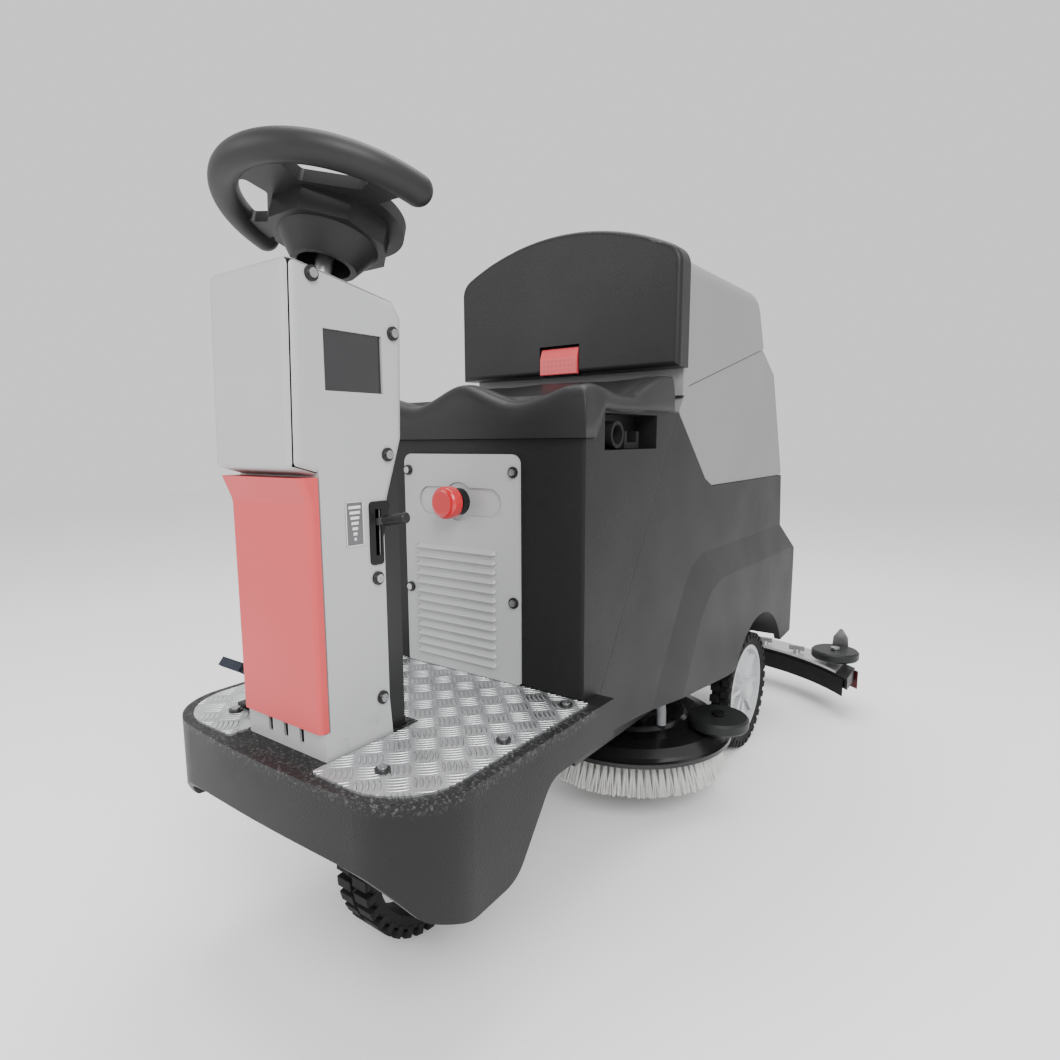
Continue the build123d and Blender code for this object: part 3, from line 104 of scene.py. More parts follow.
class Paint:
    """A material with one Principled shader, built node by node."""

    def __init__(self, name, **sockets):
        self.material = bpy.data.materials.new(name)
        self.material.use_nodes = True
        self.tree = self.material.node_tree
        self.tree.nodes.clear()
        self.shader = self.tree.nodes.new("ShaderNodeBsdfPrincipled")
        output = self.tree.nodes.new("ShaderNodeOutputMaterial")
        self.tree.links.new(self.shader.outputs[0], output.inputs[0])
        self.place = self.node("ShaderNodeTexCoord", out="Object")
        for socket, value in sockets.items():
            self.set(socket.replace("_", " "), value)

    def plug(self, socket, value):
        if isinstance(value, Wire):
            self.tree.links.new(value.socket, socket)
        elif isinstance(value, tuple) and len(value) == 3 and socket.type == "RGBA":
            socket.default_value = (*value, 1.0)
        else:
            socket.default_value = value

    def set(self, name, value):
        self.plug(self.shader.inputs[name], value)

    def node(self, kind, settings=None, sockets=None, out=0):
        made = self.tree.nodes.new(kind)
        for name, value in (settings or {}).items():
            setattr(made, name, value)
        for name, value in (sockets or {}).items():
            self.plug(made.inputs[name], value)
        return Wire(self, made.outputs[out])

    def noise(self, scale, detail=2.0, roughness=0.5, place=None):
        return self.node("ShaderNodeTexNoise", {}, {"Vector": place or self.place, "Scale": scale,
                                                     "Detail": detail, "Roughness": roughness})

    def cells(self, scale, place=None):
        return self.node("ShaderNodeTexVoronoi", {}, {"Vector": place or self.place, "Scale": scale})

    def blend(self, factor, first, second):
        return self.node("ShaderNodeMix", {"data_type": "RGBA"}, {0: factor, 6: first, 7: second}, out=2)

    def axes(self):
        split = self.tree.nodes.new("ShaderNodeSeparateXYZ")
        self.plug(split.inputs[0], self.place)
        return [Wire(self, output) for output in split.outputs]

    def relief(self, height, distance, strength=1.0, under=None):
        sockets = {"Height": height, "Distance": distance, "Strength": strength}
        if under:
            sockets["Normal"] = under
        self.set("Normal", self.node("ShaderNodeBump", {}, sockets))


def make_piece(name, mesh, paint, body, replaced=()):
    """Puts a mesh into the scene as a piece of the machine."""
    piece = bpy.data.objects.new(name, mesh)
    bpy.context.scene.collection.objects.link(piece)
    piece.data.materials.append(paint.material)
    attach(piece, body)
    if replaced:
        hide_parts(*replaced)
    return piece


def lay_floor():
    half = 9.0
    mesh = bpy.data.meshes.new("studio_floor")
    corners = [(-half, -half, 0), (half, -half, 0), (half, half, 0), (-half, half, 0)]
    mesh.from_pydata(corners, [], [(0, 1, 2, 3)])
    floor = bpy.data.objects.new("studio_floor", mesh)
    bpy.context.scene.collection.objects.link(floor)
    paint = Paint("floor_paint", Roughness=0.65)
    paint.set("Base Color", paint.blend(paint.noise(1.2), (0.94, 0.94, 0.94), (0.96, 0.96, 0.96)))
    mesh.materials.append(paint.material)


def hang_light(name, place, aim, size, power):
    light = bpy.data.lights.new(name, "AREA")
    light.shape = "RECTANGLE"
    light.size, light.size_y = size
    light.energy = power
    holder = bpy.data.objects.new(name, light)
    bpy.context.scene.collection.objects.link(holder)
    holder.location = place
    holder.rotation_euler = (Vector(aim) - Vector(place)).to_track_quat("-Z", "Y").to_euler()


def set_camera():
    """The lens stands low in front, to the machine's left, and looks a little down."""
    azimuth, down, roll = math.radians(37.28), math.radians(8.22), math.radians(-0.48)
    forward = Vector((-math.sin(azimuth) * math.cos(down), math.cos(azimuth) * math.cos(down), -math.sin(down)))
    level = Vector((math.cos(azimuth), math.sin(azimuth), 0))
    rise = level.cross(forward)
    right = math.cos(roll) * level + math.sin(roll) * rise
    up = math.cos(roll) * rise - math.sin(roll) * level
    lens = bpy.data.cameras.new("camera")
    camera = bpy.data.objects.new("camera", lens)
    bpy.context.scene.collection.objects.link(camera)
    turn = Matrix((right, up, -forward)).transposed().to_4x4()
    camera.matrix_world = Matrix.Translation((0.6684, -1.231, 0.708)) @ turn
    lens.sensor_width = 36.0
    lens.lens = 23.25
    lens.shift_x = 0.0258
    lens.shift_y = 0.009
    lens.clip_end = 60.0
    bpy.context.scene.camera = camera


lay_floor()
set_camera()
hang_light("key_light", (2.6, -2.4, 3.0), (0.0, 0.0, 0.4), (2.0, 2.0), 150)
hang_light("front_light", (-1.6, -3.4, 1.7), (0.0, -0.4, 0.5), (2.0, 2.0), 42)
hang_light("top_light", (0.0, 0.4, 3.6), (0.0, 0.1, 0.0), (2.6, 2.6), 85)
world = bpy.data.worlds.new("studio")
world.use_nodes = True
world.node_tree.nodes["Background"].inputs["Color"].default_value = (1.0, 1.0, 1.0, 1.0)
world.node_tree.nodes["Background"].inputs["Strength"].default_value = 1.0
bpy.context.scene.world = world


# ---- Finishing a machined or moulded part as it stands ----
# Parts whose shape is already right get their finish, and their sharp edges a small broken corner.
def finish_part(nodes, paint, edge=0.0):
    for name in nodes:
        part = frame["nodes"][name]
        part.data.materials.clear()
        part.data.materials.append(paint.material)
        if edge:
            round_edges(part, edge)


def round_edges(part, width, segments=2):
    bevel = part.modifiers.new("broken_edges", "BEVEL")
    bevel.width = width
    bevel.segments = segments
    bevel.limit_method = "ANGLE"
    bevel.angle_limit = math.radians(32)
    bevel.harden_normals = False
    bevel.use_clamp_overlap = True


# ---- Body, platform and rear fenders ----
# One black rotomoulded polyethylene shell with a pebbled skin; the platform's lip gets a lighter speckled band, painted
# highlight on its rounded rim together with scuffs from feet.
def rotomoulded(name, dark, light, grain=0.0005, gloss=0.5):
    paint = Paint(name, Specular_IOR_Level=0.25)
    cloud = paint.noise(3.5, 4.0)
    paint.set("Base Color", paint.blend(cloud, dark, light))
    paint.set("Roughness", gloss - 0.08 + 0.16 * paint.noise(9.0, 3.0))
    skin = paint.noise(620.0, 3.0, 0.6) + 0.5 * paint.cells(420.0)
    paint.relief(skin, grain, 0.55)
    return paint


def body_paint():
    paint = rotomoulded("body_black", (0.006, 0.006, 0.0065), (0.011, 0.011, 0.0115), 0.0006, 0.46)
    across, along, height = paint.axes()
    # the upright front faces are the most pebbled, and the lip of the platform gets a lighter speckled band: painted
    # highlight on the rounded rim together with scuffs
    lip = height.ramp(0.335, 0.352) * (1.0 - height.ramp(0.356, 0.36)) * (1.0 - along.ramp(-0.47, -0.45))
    band_speckle = paint.noise(240.0, 5.0, 0.75).ramp(0.5, 0.7)
    lip_sheen_and_scuffs = lip * band_speckle
    # the mould's parting line runs down and back on both sides
    foot, top = Vector((-0.413, 0.347)), Vector((-0.161, 0.751))
    run = (top - foot).normalized()
    aside = (along - foot.x) * run.y - (height - foot.y) * run.x
    share = (along - foot.x) * run.x + (height - foot.y) * run.y
    on_side = across.absolute().above(0.2) * share.above(0.0)
    seam = (1.0 - aside.absolute().ramp(0.0003, 0.0012)) * on_side
    skin = paint.noise(620.0, 3.0, 0.6) + 0.5 * paint.cells(420.0)
    paint.relief(skin - 2.5 * seam, 0.0006, 0.55)
    cloud = paint.noise(3.5, 4.0)
    base = paint.blend(cloud, (0.006, 0.006, 0.0065), (0.012, 0.012, 0.0125))
    # the light grey mixed in along the lip is painted highlight together with scuffs
    base_with_lip_sheen_and_scuffs = paint.blend(lip_sheen_and_scuffs * 0.7, base, (0.16, 0.16, 0.16))
    paint.set("Base Color", paint.blend(seam * 0.6, base_with_lip_sheen_and_scuffs, (0.002, 0.002, 0.002)))
    return paint


finish_part(["body_shell"], body_paint(), 0.0035)


# ---- Recovery tank and its lid ----
# Grey rotomoulded polyethylene, finer in the skin than the body.
finish_part(["recovery_tank", "tank_lid"],
            rotomoulded("tank_grey", (0.2, 0.201, 0.204), (0.23, 0.231, 0.234), 0.0003, 0.45), 0.004)


# ---- Front cover of the lid, and its latch ----
# Dark grey moulded arch screwed to the lid, with a red pull latch in a pocket at its lower edge.
finish_part(["lid_front_cover"],
            rotomoulded("cover_grey", (0.009, 0.009, 0.0095), (0.015, 0.015, 0.0155), 0.0003, 0.42), 0.003)


def latch_paint():
    paint = Paint("latch_red", Roughness=0.38)
    across, along, height = paint.axes()
    pitch = 0.0085
    sideways = (across / pitch).fraction() - 0.5
    upwards = (height / pitch).fraction() - 0.5
    reach = (sideways * sideways + upwards * upwards).power(0.5)
    inside = (1.0 - across.absolute().ramp(0.028, 0.032)) * (1.0 - height.ramp(0.85, 0.855))
    dimple = (1.0 - reach.ramp(0.12, 0.3)) * inside * height.ramp(0.826, 0.83)
    shade = paint.noise(60.0, 2.0)
    # the dimples are painted a darker red: painted shade in the hollows of the pull latch
    paint.set("Base Color", paint.blend(dimple * 0.5, paint.blend(shade, (0.56, 0.05, 0.06), (0.62, 0.07, 0.08)),
                                        (0.3, 0.02, 0.025)))
    paint.relief(dimple, 0.0012, -1.0)
    return paint


finish_part(["lid_latch"], latch_paint(), 0.001)


# ---- Steering column ----
# Folded steel sheet, powder coated light grey, with a coral red kick panel let into its front.
def powder_coat(name, first, second, gloss=0.38):
    paint = Paint(name)
    paint.set("Base Color", paint.blend(paint.noise(5.0, 4.0), first, second))
    paint.set("Roughness", gloss - 0.05 + 0.1 * paint.noise(14.0, 3.0))
    paint.relief(paint.noise(900.0, 2.0), 0.00012, 0.4)
    return paint


def housing_paint():
    paint = powder_coat("housing_grey", (0.36, 0.364, 0.368), (0.42, 0.422, 0.426), 0.42)
    height = paint.axes()[2]
    # shoe marks near the foot
    marks = paint.noise(38.0, 6.0, 0.7).ramp(0.55, 0.75) * (1.0 - height.ramp(0.37, 0.5))
    paint.set("Base Color", paint.blend(marks * 0.35, paint.blend(paint.noise(5.0, 4.0), (0.36, 0.364, 0.368),
                                                                  (0.42, 0.422, 0.426)), (0.14, 0.14, 0.14)))
    return paint


def kick_paint():
    paint = powder_coat("panel_red", (0.52, 0.045, 0.05), (0.6, 0.06, 0.065), 0.45)
    paint.relief(paint.noise(700.0, 3.0), 0.00035, 0.6)
    return paint


finish_part(["column_housing"], housing_paint())
finish_part(["kick_panel"], kick_paint(), 0.0008)
finish_part(["column_frame"], powder_coat("frame_black", (0.006, 0.006, 0.0065), (0.012, 0.012, 0.0125)), 0.0006)
finish_part(["front_panel"], powder_coat("front_panel_grey", (0.35, 0.354, 0.358), (0.41, 0.412, 0.416)), 0.0008)


# ---- Display window, lever plate, level label ----
# Black acrylic window, slotted black plate, and a small printed scale for the water lever.
def window_paint():
    paint = Paint("window_black", Roughness=0.12, Coat_Weight=0.6)
    haze = paint.noise(24.0, 5.0)
    paint.set("Base Color", paint.blend(haze, (0.006, 0.006, 0.007), (0.016, 0.016, 0.018)))
    paint.set("Roughness", 0.08 + 0.12 * haze)
    return paint


finish_part(["display_window"], window_paint(), 0.0004)


def dark_plastic(name, dark, light, gloss=0.4, grain=0.00015):
    paint = Paint(name, Specular_IOR_Level=0.3)
    paint.set("Base Color", paint.blend(paint.noise(30.0, 3.0), dark, light))
    paint.set("Roughness", gloss - 0.06 + 0.12 * paint.noise(60.0, 3.0))
    paint.relief(paint.noise(1100.0, 2.0), grain, 0.5)
    return paint


black_moulding = dark_plastic("black_moulding", (0.005, 0.005, 0.0055), (0.01, 0.01, 0.0105))
finish_part(["lever_plate", "stop_button_collar", "squeegee_carrier", "vacuum_motor"], black_moulding, 0.0005)
finish_part(["water_lever_knob"], dark_plastic("knob_black", (0.012, 0.012, 0.013), (0.02, 0.02, 0.021), 0.25), 0.0005)


def box_mesh(name, boxes, edge=0.0):
    """One mesh of several (low corner, high corner) blocks."""
    shape = bmesh.new()
    for low, high in boxes:
        size = [b - a for a, b in zip(low, high)]
        middle = [(a + b) / 2 for a, b in zip(low, high)]
        place = Matrix.Translation(middle) @ Matrix.Diagonal((*size, 1.0))
        bmesh.ops.create_cube(shape, size=1.0, matrix=place)
    if edge:
        bmesh.ops.bevel(shape, geom=shape.edges[:], offset=edge, segments=2, affect="EDGES")
    mesh = bpy.data.meshes.new(name)
    shape.to_mesh(mesh)
    shape.free()
    return mesh


def make_level_label():
    low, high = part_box("lever_plate")
    face = low.x
    front, rear = low.y - 0.034, low.y - 0.009
    foot, top = low.z + 0.026, low.z + 0.076
    plate = [((face - 0.0004, front, foot), (face + 0.0009, rear, top))]
    label = make_piece("level_label", box_mesh("level_label", plate, 0.0003),
                       dark_plastic("label_grey", (0.1, 0.1, 0.105), (0.13, 0.13, 0.135), 0.3), "root")
    bars = []
    count = 7
    for index in range(count):
        share = index / (count - 1)
        height = foot + 0.006 + share * (top - foot - 0.014)
        width = 0.003 + 0.014 * share
        middle = (front + rear) / 2
        bars.append(((face + 0.0006, middle - width / 2, height), (face + 0.0013, middle + width / 2, height + 0.0032)))
    rims = []
    line = 0.0009
    for a, b in (((front, foot), (rear, foot + line)), ((front, top - line), (rear, top)),
                 ((front, foot), (front + line, top)), ((rear - line, foot), (rear, top))):
        rims.append(((face + 0.0006, a[0], a[1]), (face + 0.0013, b[0], b[1])))
    make_piece("label_scale", box_mesh("label_scale", bars + rims),
               dark_plastic("print_white", (0.62, 0.62, 0.62), (0.7, 0.7, 0.7), 0.4), "root")


make_level_label()


# ---- Screws ----
# Socket screws of bright steel, each in a black cup washer.
def screw_paint(name, axis, seat, outward):
    """The head stands three millimetres above the washer, so its height tells steel from plastic."""
    paint = Paint("screws_" + name)
    distance = paint.axes()[axis]
    distance = distance.absolute() if axis == 0 else distance * outward
    head = distance.above(seat + 0.0031)
    grime = paint.noise(500.0, 3.0)
    washer = paint.blend(grime, (0.005, 0.005, 0.0055), (0.012, 0.012, 0.0125))
    paint.set("Base Color", paint.blend(head, washer, paint.blend(grime, (0.3, 0.3, 0.31), (0.55, 0.55, 0.56))))
    paint.set("Metallic", head)
    paint.set("Roughness", 0.28 + 0.15 * grime)
    return paint


finish_part(["column_screws"], screw_paint("column", 0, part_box("column_housing")[1].x, 1.0))
finish_part(["tread_plate_screws"], screw_paint("tread", 2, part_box("tread_plate")[1].z, 1.0))
finish_part(["front_panel_screws"], screw_paint("panel", 1, -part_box("front_panel")[0].y, -1.0))


# ---- Louvres of the front panel ----
# Thirteen hooded ribs pressed out of the panel, one over each vent slot, pointed at both ends.
def make_louvres():
    low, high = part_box("front_panel")
    face = low.y
    first = 0.546
    pitch = 0.014
    shape = bmesh.new()
    for index in range(13):
        middle = first - pitch * index
        ends = (-0.0885, 0.0705)
        inner = [(ends[0], middle + 0.0002), (ends[0] + 0.006, middle + 0.0052),
                 (ends[1] - 0.006, middle + 0.0052), (ends[1], middle + 0.0002)]
        lip = [(ends[0] + 0.003, middle - 0.002), (ends[1] - 0.003, middle - 0.002)]
        root = [shape.verts.new((x, face + 0.0004, z)) for x, z in inner]
        hood = [shape.verts.new((x, face - 0.0052, z)) for x, z in lip]
        back = [shape.verts.new((x, face + 0.002, z - 0.0012)) for x, z in inner]
        hem = [shape.verts.new((x, face - 0.0046, z - 0.0012)) for x, z in lip]
        for skin, edge in ((root, hood), (back, hem)):
            shape.faces.new((skin[1], skin[2], edge[1], edge[0]))
            shape.faces.new((skin[0], skin[1], edge[0]))
            shape.faces.new((skin[2], skin[3], edge[1]))
        shape.faces.new((hood[0], hood[1], hem[1], hem[0]))
        shape.faces.new((root[1], root[2], back[2], back[1]))
        shape.faces.new((root[0], hood[0], hem[0], back[0]))
        shape.faces.new((root[3], back[3], hem[1], hood[1]))
        shape.faces.new((root[0], back[0], back[1], root[1]))
        shape.faces.new((root[2], back[2], back[3], root[3]))
    bmesh.ops.recalc_face_normals(shape, faces=shape.faces[:])
    mesh = bpy.data.meshes.new("louvre_hoods")
    shape.to_mesh(mesh)
    shape.free()
    hoods = make_piece("louvre_hoods", mesh, powder_coat("louvre_grey", (0.35, 0.354, 0.358), (0.41, 0.412, 0.416)),
                       "root")
    round_edges(hoods, 0.0006)


make_louvres()


# ---- Tread plate ----
# Five-bar aluminium tread plate, sheared to shape and screwed down round the column.
def tread_paint():
    paint = Paint("tread_aluminium", Metallic=1.0)
    across, along, height = paint.axes()
    cell = 0.031
    slant = math.sqrt(0.5)
    u = (across + along) * (slant / cell) + 40.0
    v = (along - across) * (slant / cell) + 40.0
    cell_u, cell_v = u.math("FLOOR"), v.math("FLOOR")
    odd = ((cell_u + cell_v) * 0.5).fraction().above(0.25)
    p, q = u.fraction() - 0.5, v.fraction() - 0.5
    run = p + odd * (q - p)
    side = q + odd * (p - q)
    lane = (side * 5.0 + 0.5).fraction() - 0.5
    within = 1.0 - side.absolute().ramp(0.46, 0.5)
    taper = 1.0 - (run * 2.2).power(2.0)
    bar = (taper * 0.42 - lane.absolute()).ramp(0.0, 0.22) * within
    dirt = paint.noise(26.0, 6.0, 0.7)
    rub = paint.noise(420.0, 4.0, 0.7)
    tone = paint.blend(dirt.ramp(0.35, 0.75), (0.62, 0.63, 0.64), (0.44, 0.45, 0.46))
    paint.set("Base Color", paint.blend(bar, tone, (0.82, 0.83, 0.84)))
    paint.set("Roughness", 0.42 - 0.16 * bar + 0.16 * rub)
    paint.relief(bar + 0.04 * rub, 0.0016, 1.0)
    return paint


finish_part(["tread_plate"], tread_paint(), 0.0005)


# ---- Steering wheel ----
# Two black nylon half shells, screwed together from below, with a fine spark-eroded grain.
finish_part(["steering_wheel_top", "steering_wheel_bottom"],
            dark_plastic("wheel_grey", (0.013, 0.013, 0.0135), (0.02, 0.02, 0.0205), 0.44, 0.0002), 0.0022)


# ---- Shafts, bearings, sprockets, chain and fork ----
# Turned and zinc-plated steel, painted forks and arms.
def steel(name, tone=0.5, gloss=0.32):
    paint = Paint(name, Metallic=1.0)
    smear = paint.noise(45.0, 5.0)
    paint.set("Base Color", paint.blend(smear, (tone * 0.85,) * 3, (tone * 1.1,) * 3))
    paint.set("Roughness", gloss + 0.14 * paint.noise(260.0, 4.0))
    paint.relief(paint.noise(800.0, 2.0), 0.00008, 0.4)
    return paint


finish_part(["steering_shaft", "steering_bearing", "lower_steering_shaft", "column_sprocket", "fork_sprocket",
             "steering_chain", "turntable_bearing", "rear_axle", "water_lever", "squeegee_fittings"],
            steel("steel"), 0.0006)
finish_part(["chassis_frame", "steering_fork", "deck_lift_arm", "squeegee_arm", "squeegee_yoke", "brush_motor"],
            powder_coat("chassis_black", (0.007, 0.007, 0.0075), (0.014, 0.014, 0.0145)), 0.001)
finish_part(["batteries"], dark_plastic("battery_case", (0.05, 0.05, 0.055), (0.07, 0.07, 0.075)), 0.002)
finish_part(["drive_hub_motor"], steel("hub_cast", 0.4, 0.45), 0.001)


# ---- Stop button ----
# Red gloss mushroom head.
def gloss_red():
    paint = Paint("button_red", Coat_Weight=0.4)
    paint.set("Base Color", paint.blend(paint.noise(40.0), (0.5, 0.008, 0.014), (0.6, 0.014, 0.022)))
    paint.set("Roughness", 0.2 + 0.1 * paint.noise(120.0))
    return paint


finish_part(["stop_button"], gloss_red(), 0.001)


# ---- Seat ----
# Dark grey moulded saddle: a pommel and two thigh hollows in front, side rolls, and a rising back.
def saddle_height(x, share):
    """Height above the seat's front edge line; share runs from 0 in front to 1 at the rear."""
    front = 0.056 + 0.012 * math.sin(min(share / 0.16, 1.0) * math.pi / 2)
    dish = -0.016 * math.exp(-((share - 0.45) / 0.24) ** 2)
    back = 0.036 * max(0.0, share - 0.5) ** 1.4 * 2.2
    fade = 1.0 - 0.75 * min(share / 0.8, 1.0)
    pommel = 0.017 * math.exp(-(x / 0.042) ** 2) * fade
    hollow = -0.014 * math.exp(-((abs(x) - 0.1) / 0.045) ** 2) * fade
    roll = 0.006 * min(1.0, max(0.0, (abs(x) - 0.15) / 0.03))
    return front + dish + back + pommel + hollow + roll


def make_saddle():
    low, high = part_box("seat")
    columns, rows = 72, 56
    half = high.x
    depth = high.y - low.y
    ledge = frame["record"]["mounts"][0]["pos_m"][2] + 0.3555
    shape = bmesh.new()
    edge = 0.02
    grid = []
    for row in range(rows + 1):
        share = (1 - math.cos(math.pi * row / rows)) / 2
        line = []
        for column in range(columns + 1):
            across = -math.cos(math.pi * column / columns)
            x = across * half
            y = low.y + share * depth
            bottom = low.z + 0.04 * min(1.0, max(0.0, (y - low.y - 0.028) / 0.024))
            inner = min(half - abs(x), y - low.y, (high.y - y) * 3.0 + 0.004)
            curl = min(1.0, inner / edge)
            rise = (1.0 - (1.0 - curl) ** 3.2) ** (1 / 3.2)
            top = low.z + saddle_height(x, share)
            groove = 0.0016 * math.exp(-((inner - 0.026) / 0.0022) ** 2)
            z = bottom + (max(top, bottom + 0.02) - bottom) * rise - groove
            line.append(shape.verts.new((x, y, min(z, high.z))))
        grid.append(line)
    for row in range(rows):
        for column in range(columns):
            a, b = grid[row][column], grid[row][column + 1]
            c, d = grid[row + 1][column + 1], grid[row + 1][column]
            shape.faces.new((a, b, c, d))
    # the underside is a plain inner skin
    under = []
    for row in range(rows + 1):
        under.append([shape.verts.new((v.co.x * 0.985, v.co.y, max(low.z, v.co.z - 0.012)
                                       if 0 < row < rows and 0 < k < columns else v.co.z - 0.0004))
                      for k, v in enumerate(grid[row])])
    for row in range(rows):
        for column in range(columns):
            a, b = under[row][column], under[row][column + 1]
            c, d = under[row + 1][column + 1], under[row + 1][column]
            shape.faces.new((d, c, b, a))
    rim = [(row, 0) for row in range(rows)] + [(rows, column) for column in range(columns)]
    rim += [(row, columns) for row in range(rows, 0, -1)] + [(0, column) for column in range(columns, 0, -1)]
    for k, (row, column) in enumerate(rim):
        next_row, next_column = rim[(k + 1) % len(rim)]
        shape.faces.new((grid[row][column], grid[next_row][next_column],
                         under[next_row][next_column], under[row][column]))
    bmesh.ops.recalc_face_normals(shape, faces=shape.faces[:])
    mesh = bpy.data.meshes.new("saddle")
    shape.to_mesh(mesh)
    shape.free()
    for face in mesh.polygons:
        face.use_smooth = True
    make_piece("saddle", mesh, rotomoulded("seat_grey", (0.011, 0.011, 0.0115), (0.018, 0.018, 0.0185), 0.00035, 0.42),
               "seat", ["seat"])


make_saddle()


# ---- Wheels ----
# Solid rubber tyres with cross lugs that run over the shoulders, on light grey spoked rims.
def lathe_mesh(name, profile, steps):
    """A closed (radius, distance) profile turned about X."""
    points, faces = [], []
    count = len(profile)
    for step in range(steps):
        angle = 2 * math.pi * step / steps
        for radius, distance in profile:
            points.append((distance, radius * math.cos(angle), radius * math.sin(angle)))
    for step in range(steps):
        following = (step + 1) % steps
        for k in range(count):
            m = (k + 1) % count
            faces.append((step * count + k, step * count + m, following * count + m, following * count + k))
    mesh = bpy.data.meshes.new(name)
    mesh.from_pydata(points, [], faces)
    return mesh


def rubber_paint(name):
    paint = Paint(name, Specular_IOR_Level=0.2)
    dust = paint.noise(55.0, 5.0)
    paint.set("Base Color", paint.blend(dust, (0.006, 0.006, 0.0065), (0.014, 0.014, 0.014)))
    paint.set("Roughness", 0.58 + 0.2 * paint.noise(130.0, 3.0))
    paint.relief(paint.noise(700.0, 3.0), 0.0002, 0.5)
    return paint


tyre_rubber = rubber_paint("tyre_rubber")


def make_tyre(name, node, body, lugs):
    low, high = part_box(node)
    centre = (low + high) / 2
    radius = (high.z - low.z) / 2
    half = (high.x - low.x) / 2
    inner = radius * 0.785
    base = radius - 0.0065
    profile = [(inner, -half * 0.82), (radius * 0.9, -half * 0.97), (base - 0.006, -half * 0.86), (base, -half * 0.6),
               (base, half * 0.6), (base - 0.006, half * 0.86), (radius * 0.9, half * 0.97), (inner, half * 0.82)]
    shape = bmesh.new()
    shape.from_mesh(lathe_mesh("tyre_core", profile, 96))
    for index in range(lugs):
        for side in (-1, 1):
            angle = 2 * math.pi * (index + (0.5 if side > 0 else 0.0)) / lugs
            turn = Matrix.Rotation(angle, 4, "X")
            width = 2 * math.pi * radius / lugs * 0.6
            tread = Matrix.Translation((side * half * 0.52, 0, radius - 0.005)) @ Matrix.Diagonal(
                (half * 0.86, width, 0.0098, 1.0))
            shoulder = Matrix.Translation((side * half * 0.93, 0, radius * 0.925)) @ Matrix.Diagonal(
                (half * 0.11, width * 0.8, radius * 0.11, 1.0))
            for block in (tread, shoulder):
                bmesh.ops.create_cube(shape, size=1.0, matrix=turn @ block)
    mesh = bpy.data.meshes.new(name)
    shape.to_mesh(mesh)
    shape.free()
    mesh.transform(Matrix.Translation(centre))
    piece = make_piece(name, mesh, tyre_rubber, body, [node])
    round_edges(piece, 0.0008)


for side in ("left", "right"):
    make_tyre("rear_lug_tyre_" + side, "rear_tyre_" + side, "rear_wheel_" + side, 34)
make_tyre("drive_lug_tyre", "drive_tyre", "drive_wheel", 34)
finish_part(["rear_rim_left", "rear_rim_right"],
            dark_plastic("rim_grey", (0.44, 0.45, 0.46), (0.52, 0.53, 0.54), 0.4, 0.0002), 0.0008)


# ---- Brush deck ----
# Pressed black cover with a bumper roller, and a round brush with tufts of grey nylon.
finish_part(["brush_deck"], powder_coat("deck_black", (0.005, 0.005, 0.0055), (0.01, 0.01, 0.0105), 0.26), 0.001)
finish_part(["brush_disc"], black_moulding, 0.001)
finish_part(["deck_roller", "squeegee_roller_left", "squeegee_roller_right"],
            dark_plastic("roller_black", (0.008, 0.0085, 0.0085), (0.014, 0.015, 0.015), 0.42, 0.0003), 0.002)


def bristle_paint():
    paint = Paint("bristle_grey", Roughness=0.5)
    height = paint.axes()[2]
    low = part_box("brush_bristles")[0].z
    soil = 1.0 - height.ramp(low, low + 0.03)
    streak = paint.noise(380.0, 3.0)
    clean = paint.blend(streak, (0.5, 0.5, 0.48), (0.68, 0.68, 0.66))
    paint.set("Base Color", paint.blend(soil * 0.3, clean, (0.42, 0.41, 0.38)))
    return paint


def make_bristles():
    """Rings of tufts that lean outwards, each tuft a splayed bundle of thick bristles."""
    low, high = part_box("brush_bristles")
    centre = (low + high) / 2
    reach = (high.x - low.x) / 2
    dice = random.Random(7)
    points, faces = [], []
    rings = [(reach - 0.024, 0.5, 12, 0.0034), (reach - 0.04, 0.42, 6, 0.0036), (reach - 0.06, 0.3, 5, 0.004),
             (reach - 0.085, 0.2, 4, 0.0044), (reach - 0.11, 0.1, 4, 0.0044)]
    drop = high.z - low.z
    for radius, lean, strands, thickness in rings:
        tufts = int(2 * math.pi * radius / 0.0125)
        for tuft in range(tufts):
            angle = 2 * math.pi * tuft / tufts
            out = Vector((math.cos(angle), math.sin(angle), 0))
            along = Vector((-math.sin(angle), math.cos(angle), 0))
            root = Vector((centre.x, centre.y, high.z)) + out * radius
            for strand in range(strands):
                splay = Vector((0, 0, 0))
                splay += out * (dice.uniform(-0.0045, 0.0045) + lean * 0.045)
                splay += along * dice.uniform(-0.0075, 0.0075)
                tip = root + splay + Vector((0, 0, -drop * dice.uniform(0.95, 1.0)))
                start = root + Vector((dice.uniform(-0.002, 0.002), dice.uniform(-0.002, 0.002), 0.002))
                first = len(points)
                for end, size in ((start, thickness / 2), (tip, thickness / 2.4)):
                    for corner in range(3):
                        turn = 2 * math.pi * corner / 3
                        points.append(end + out * size * math.cos(turn) + along * size * math.sin(turn))
                for corner in range(3):
                    following = (corner + 1) % 3
                    faces.append((first + corner, first + following, first + 3 + following, first + 3 + corner))
                faces.append((first + 5, first + 4, first + 3))
    mesh = bpy.data.meshes.new("bristles")
    mesh.from_pydata(points, [], faces)
    make_piece("bristle_tufts", mesh, bristle_paint(), "brush", ["brush_bristles"])


make_bristles()


# ---- Hoses ----
# Corrugated tubes: a grey feed hose on the deck, and the black suction hose behind.
def route_points(route, steps=14):
    """Points along one smooth NURBS line through the runs between the given corners."""
    line = bpy.data.curves.new("hose_line", "CURVE")
    line.dimensions = "3D"
    spline = line.splines.new("NURBS")
    spline.points.add(len(route) - 1)
    for point, place in zip(spline.points, route):
        point.co = (*place, 1.0)
    spline.order_u = 3
    spline.use_endpoint_u = True
    spline.resolution_u = steps
    holder = bpy.data.objects.new("hose_line", line)
    mesh = bpy.data.meshes.new_from_object(holder)
    points = [vertex.co.copy() for vertex in mesh.vertices]
    bpy.data.objects.remove(holder)
    bpy.data.meshes.remove(mesh)
    return points


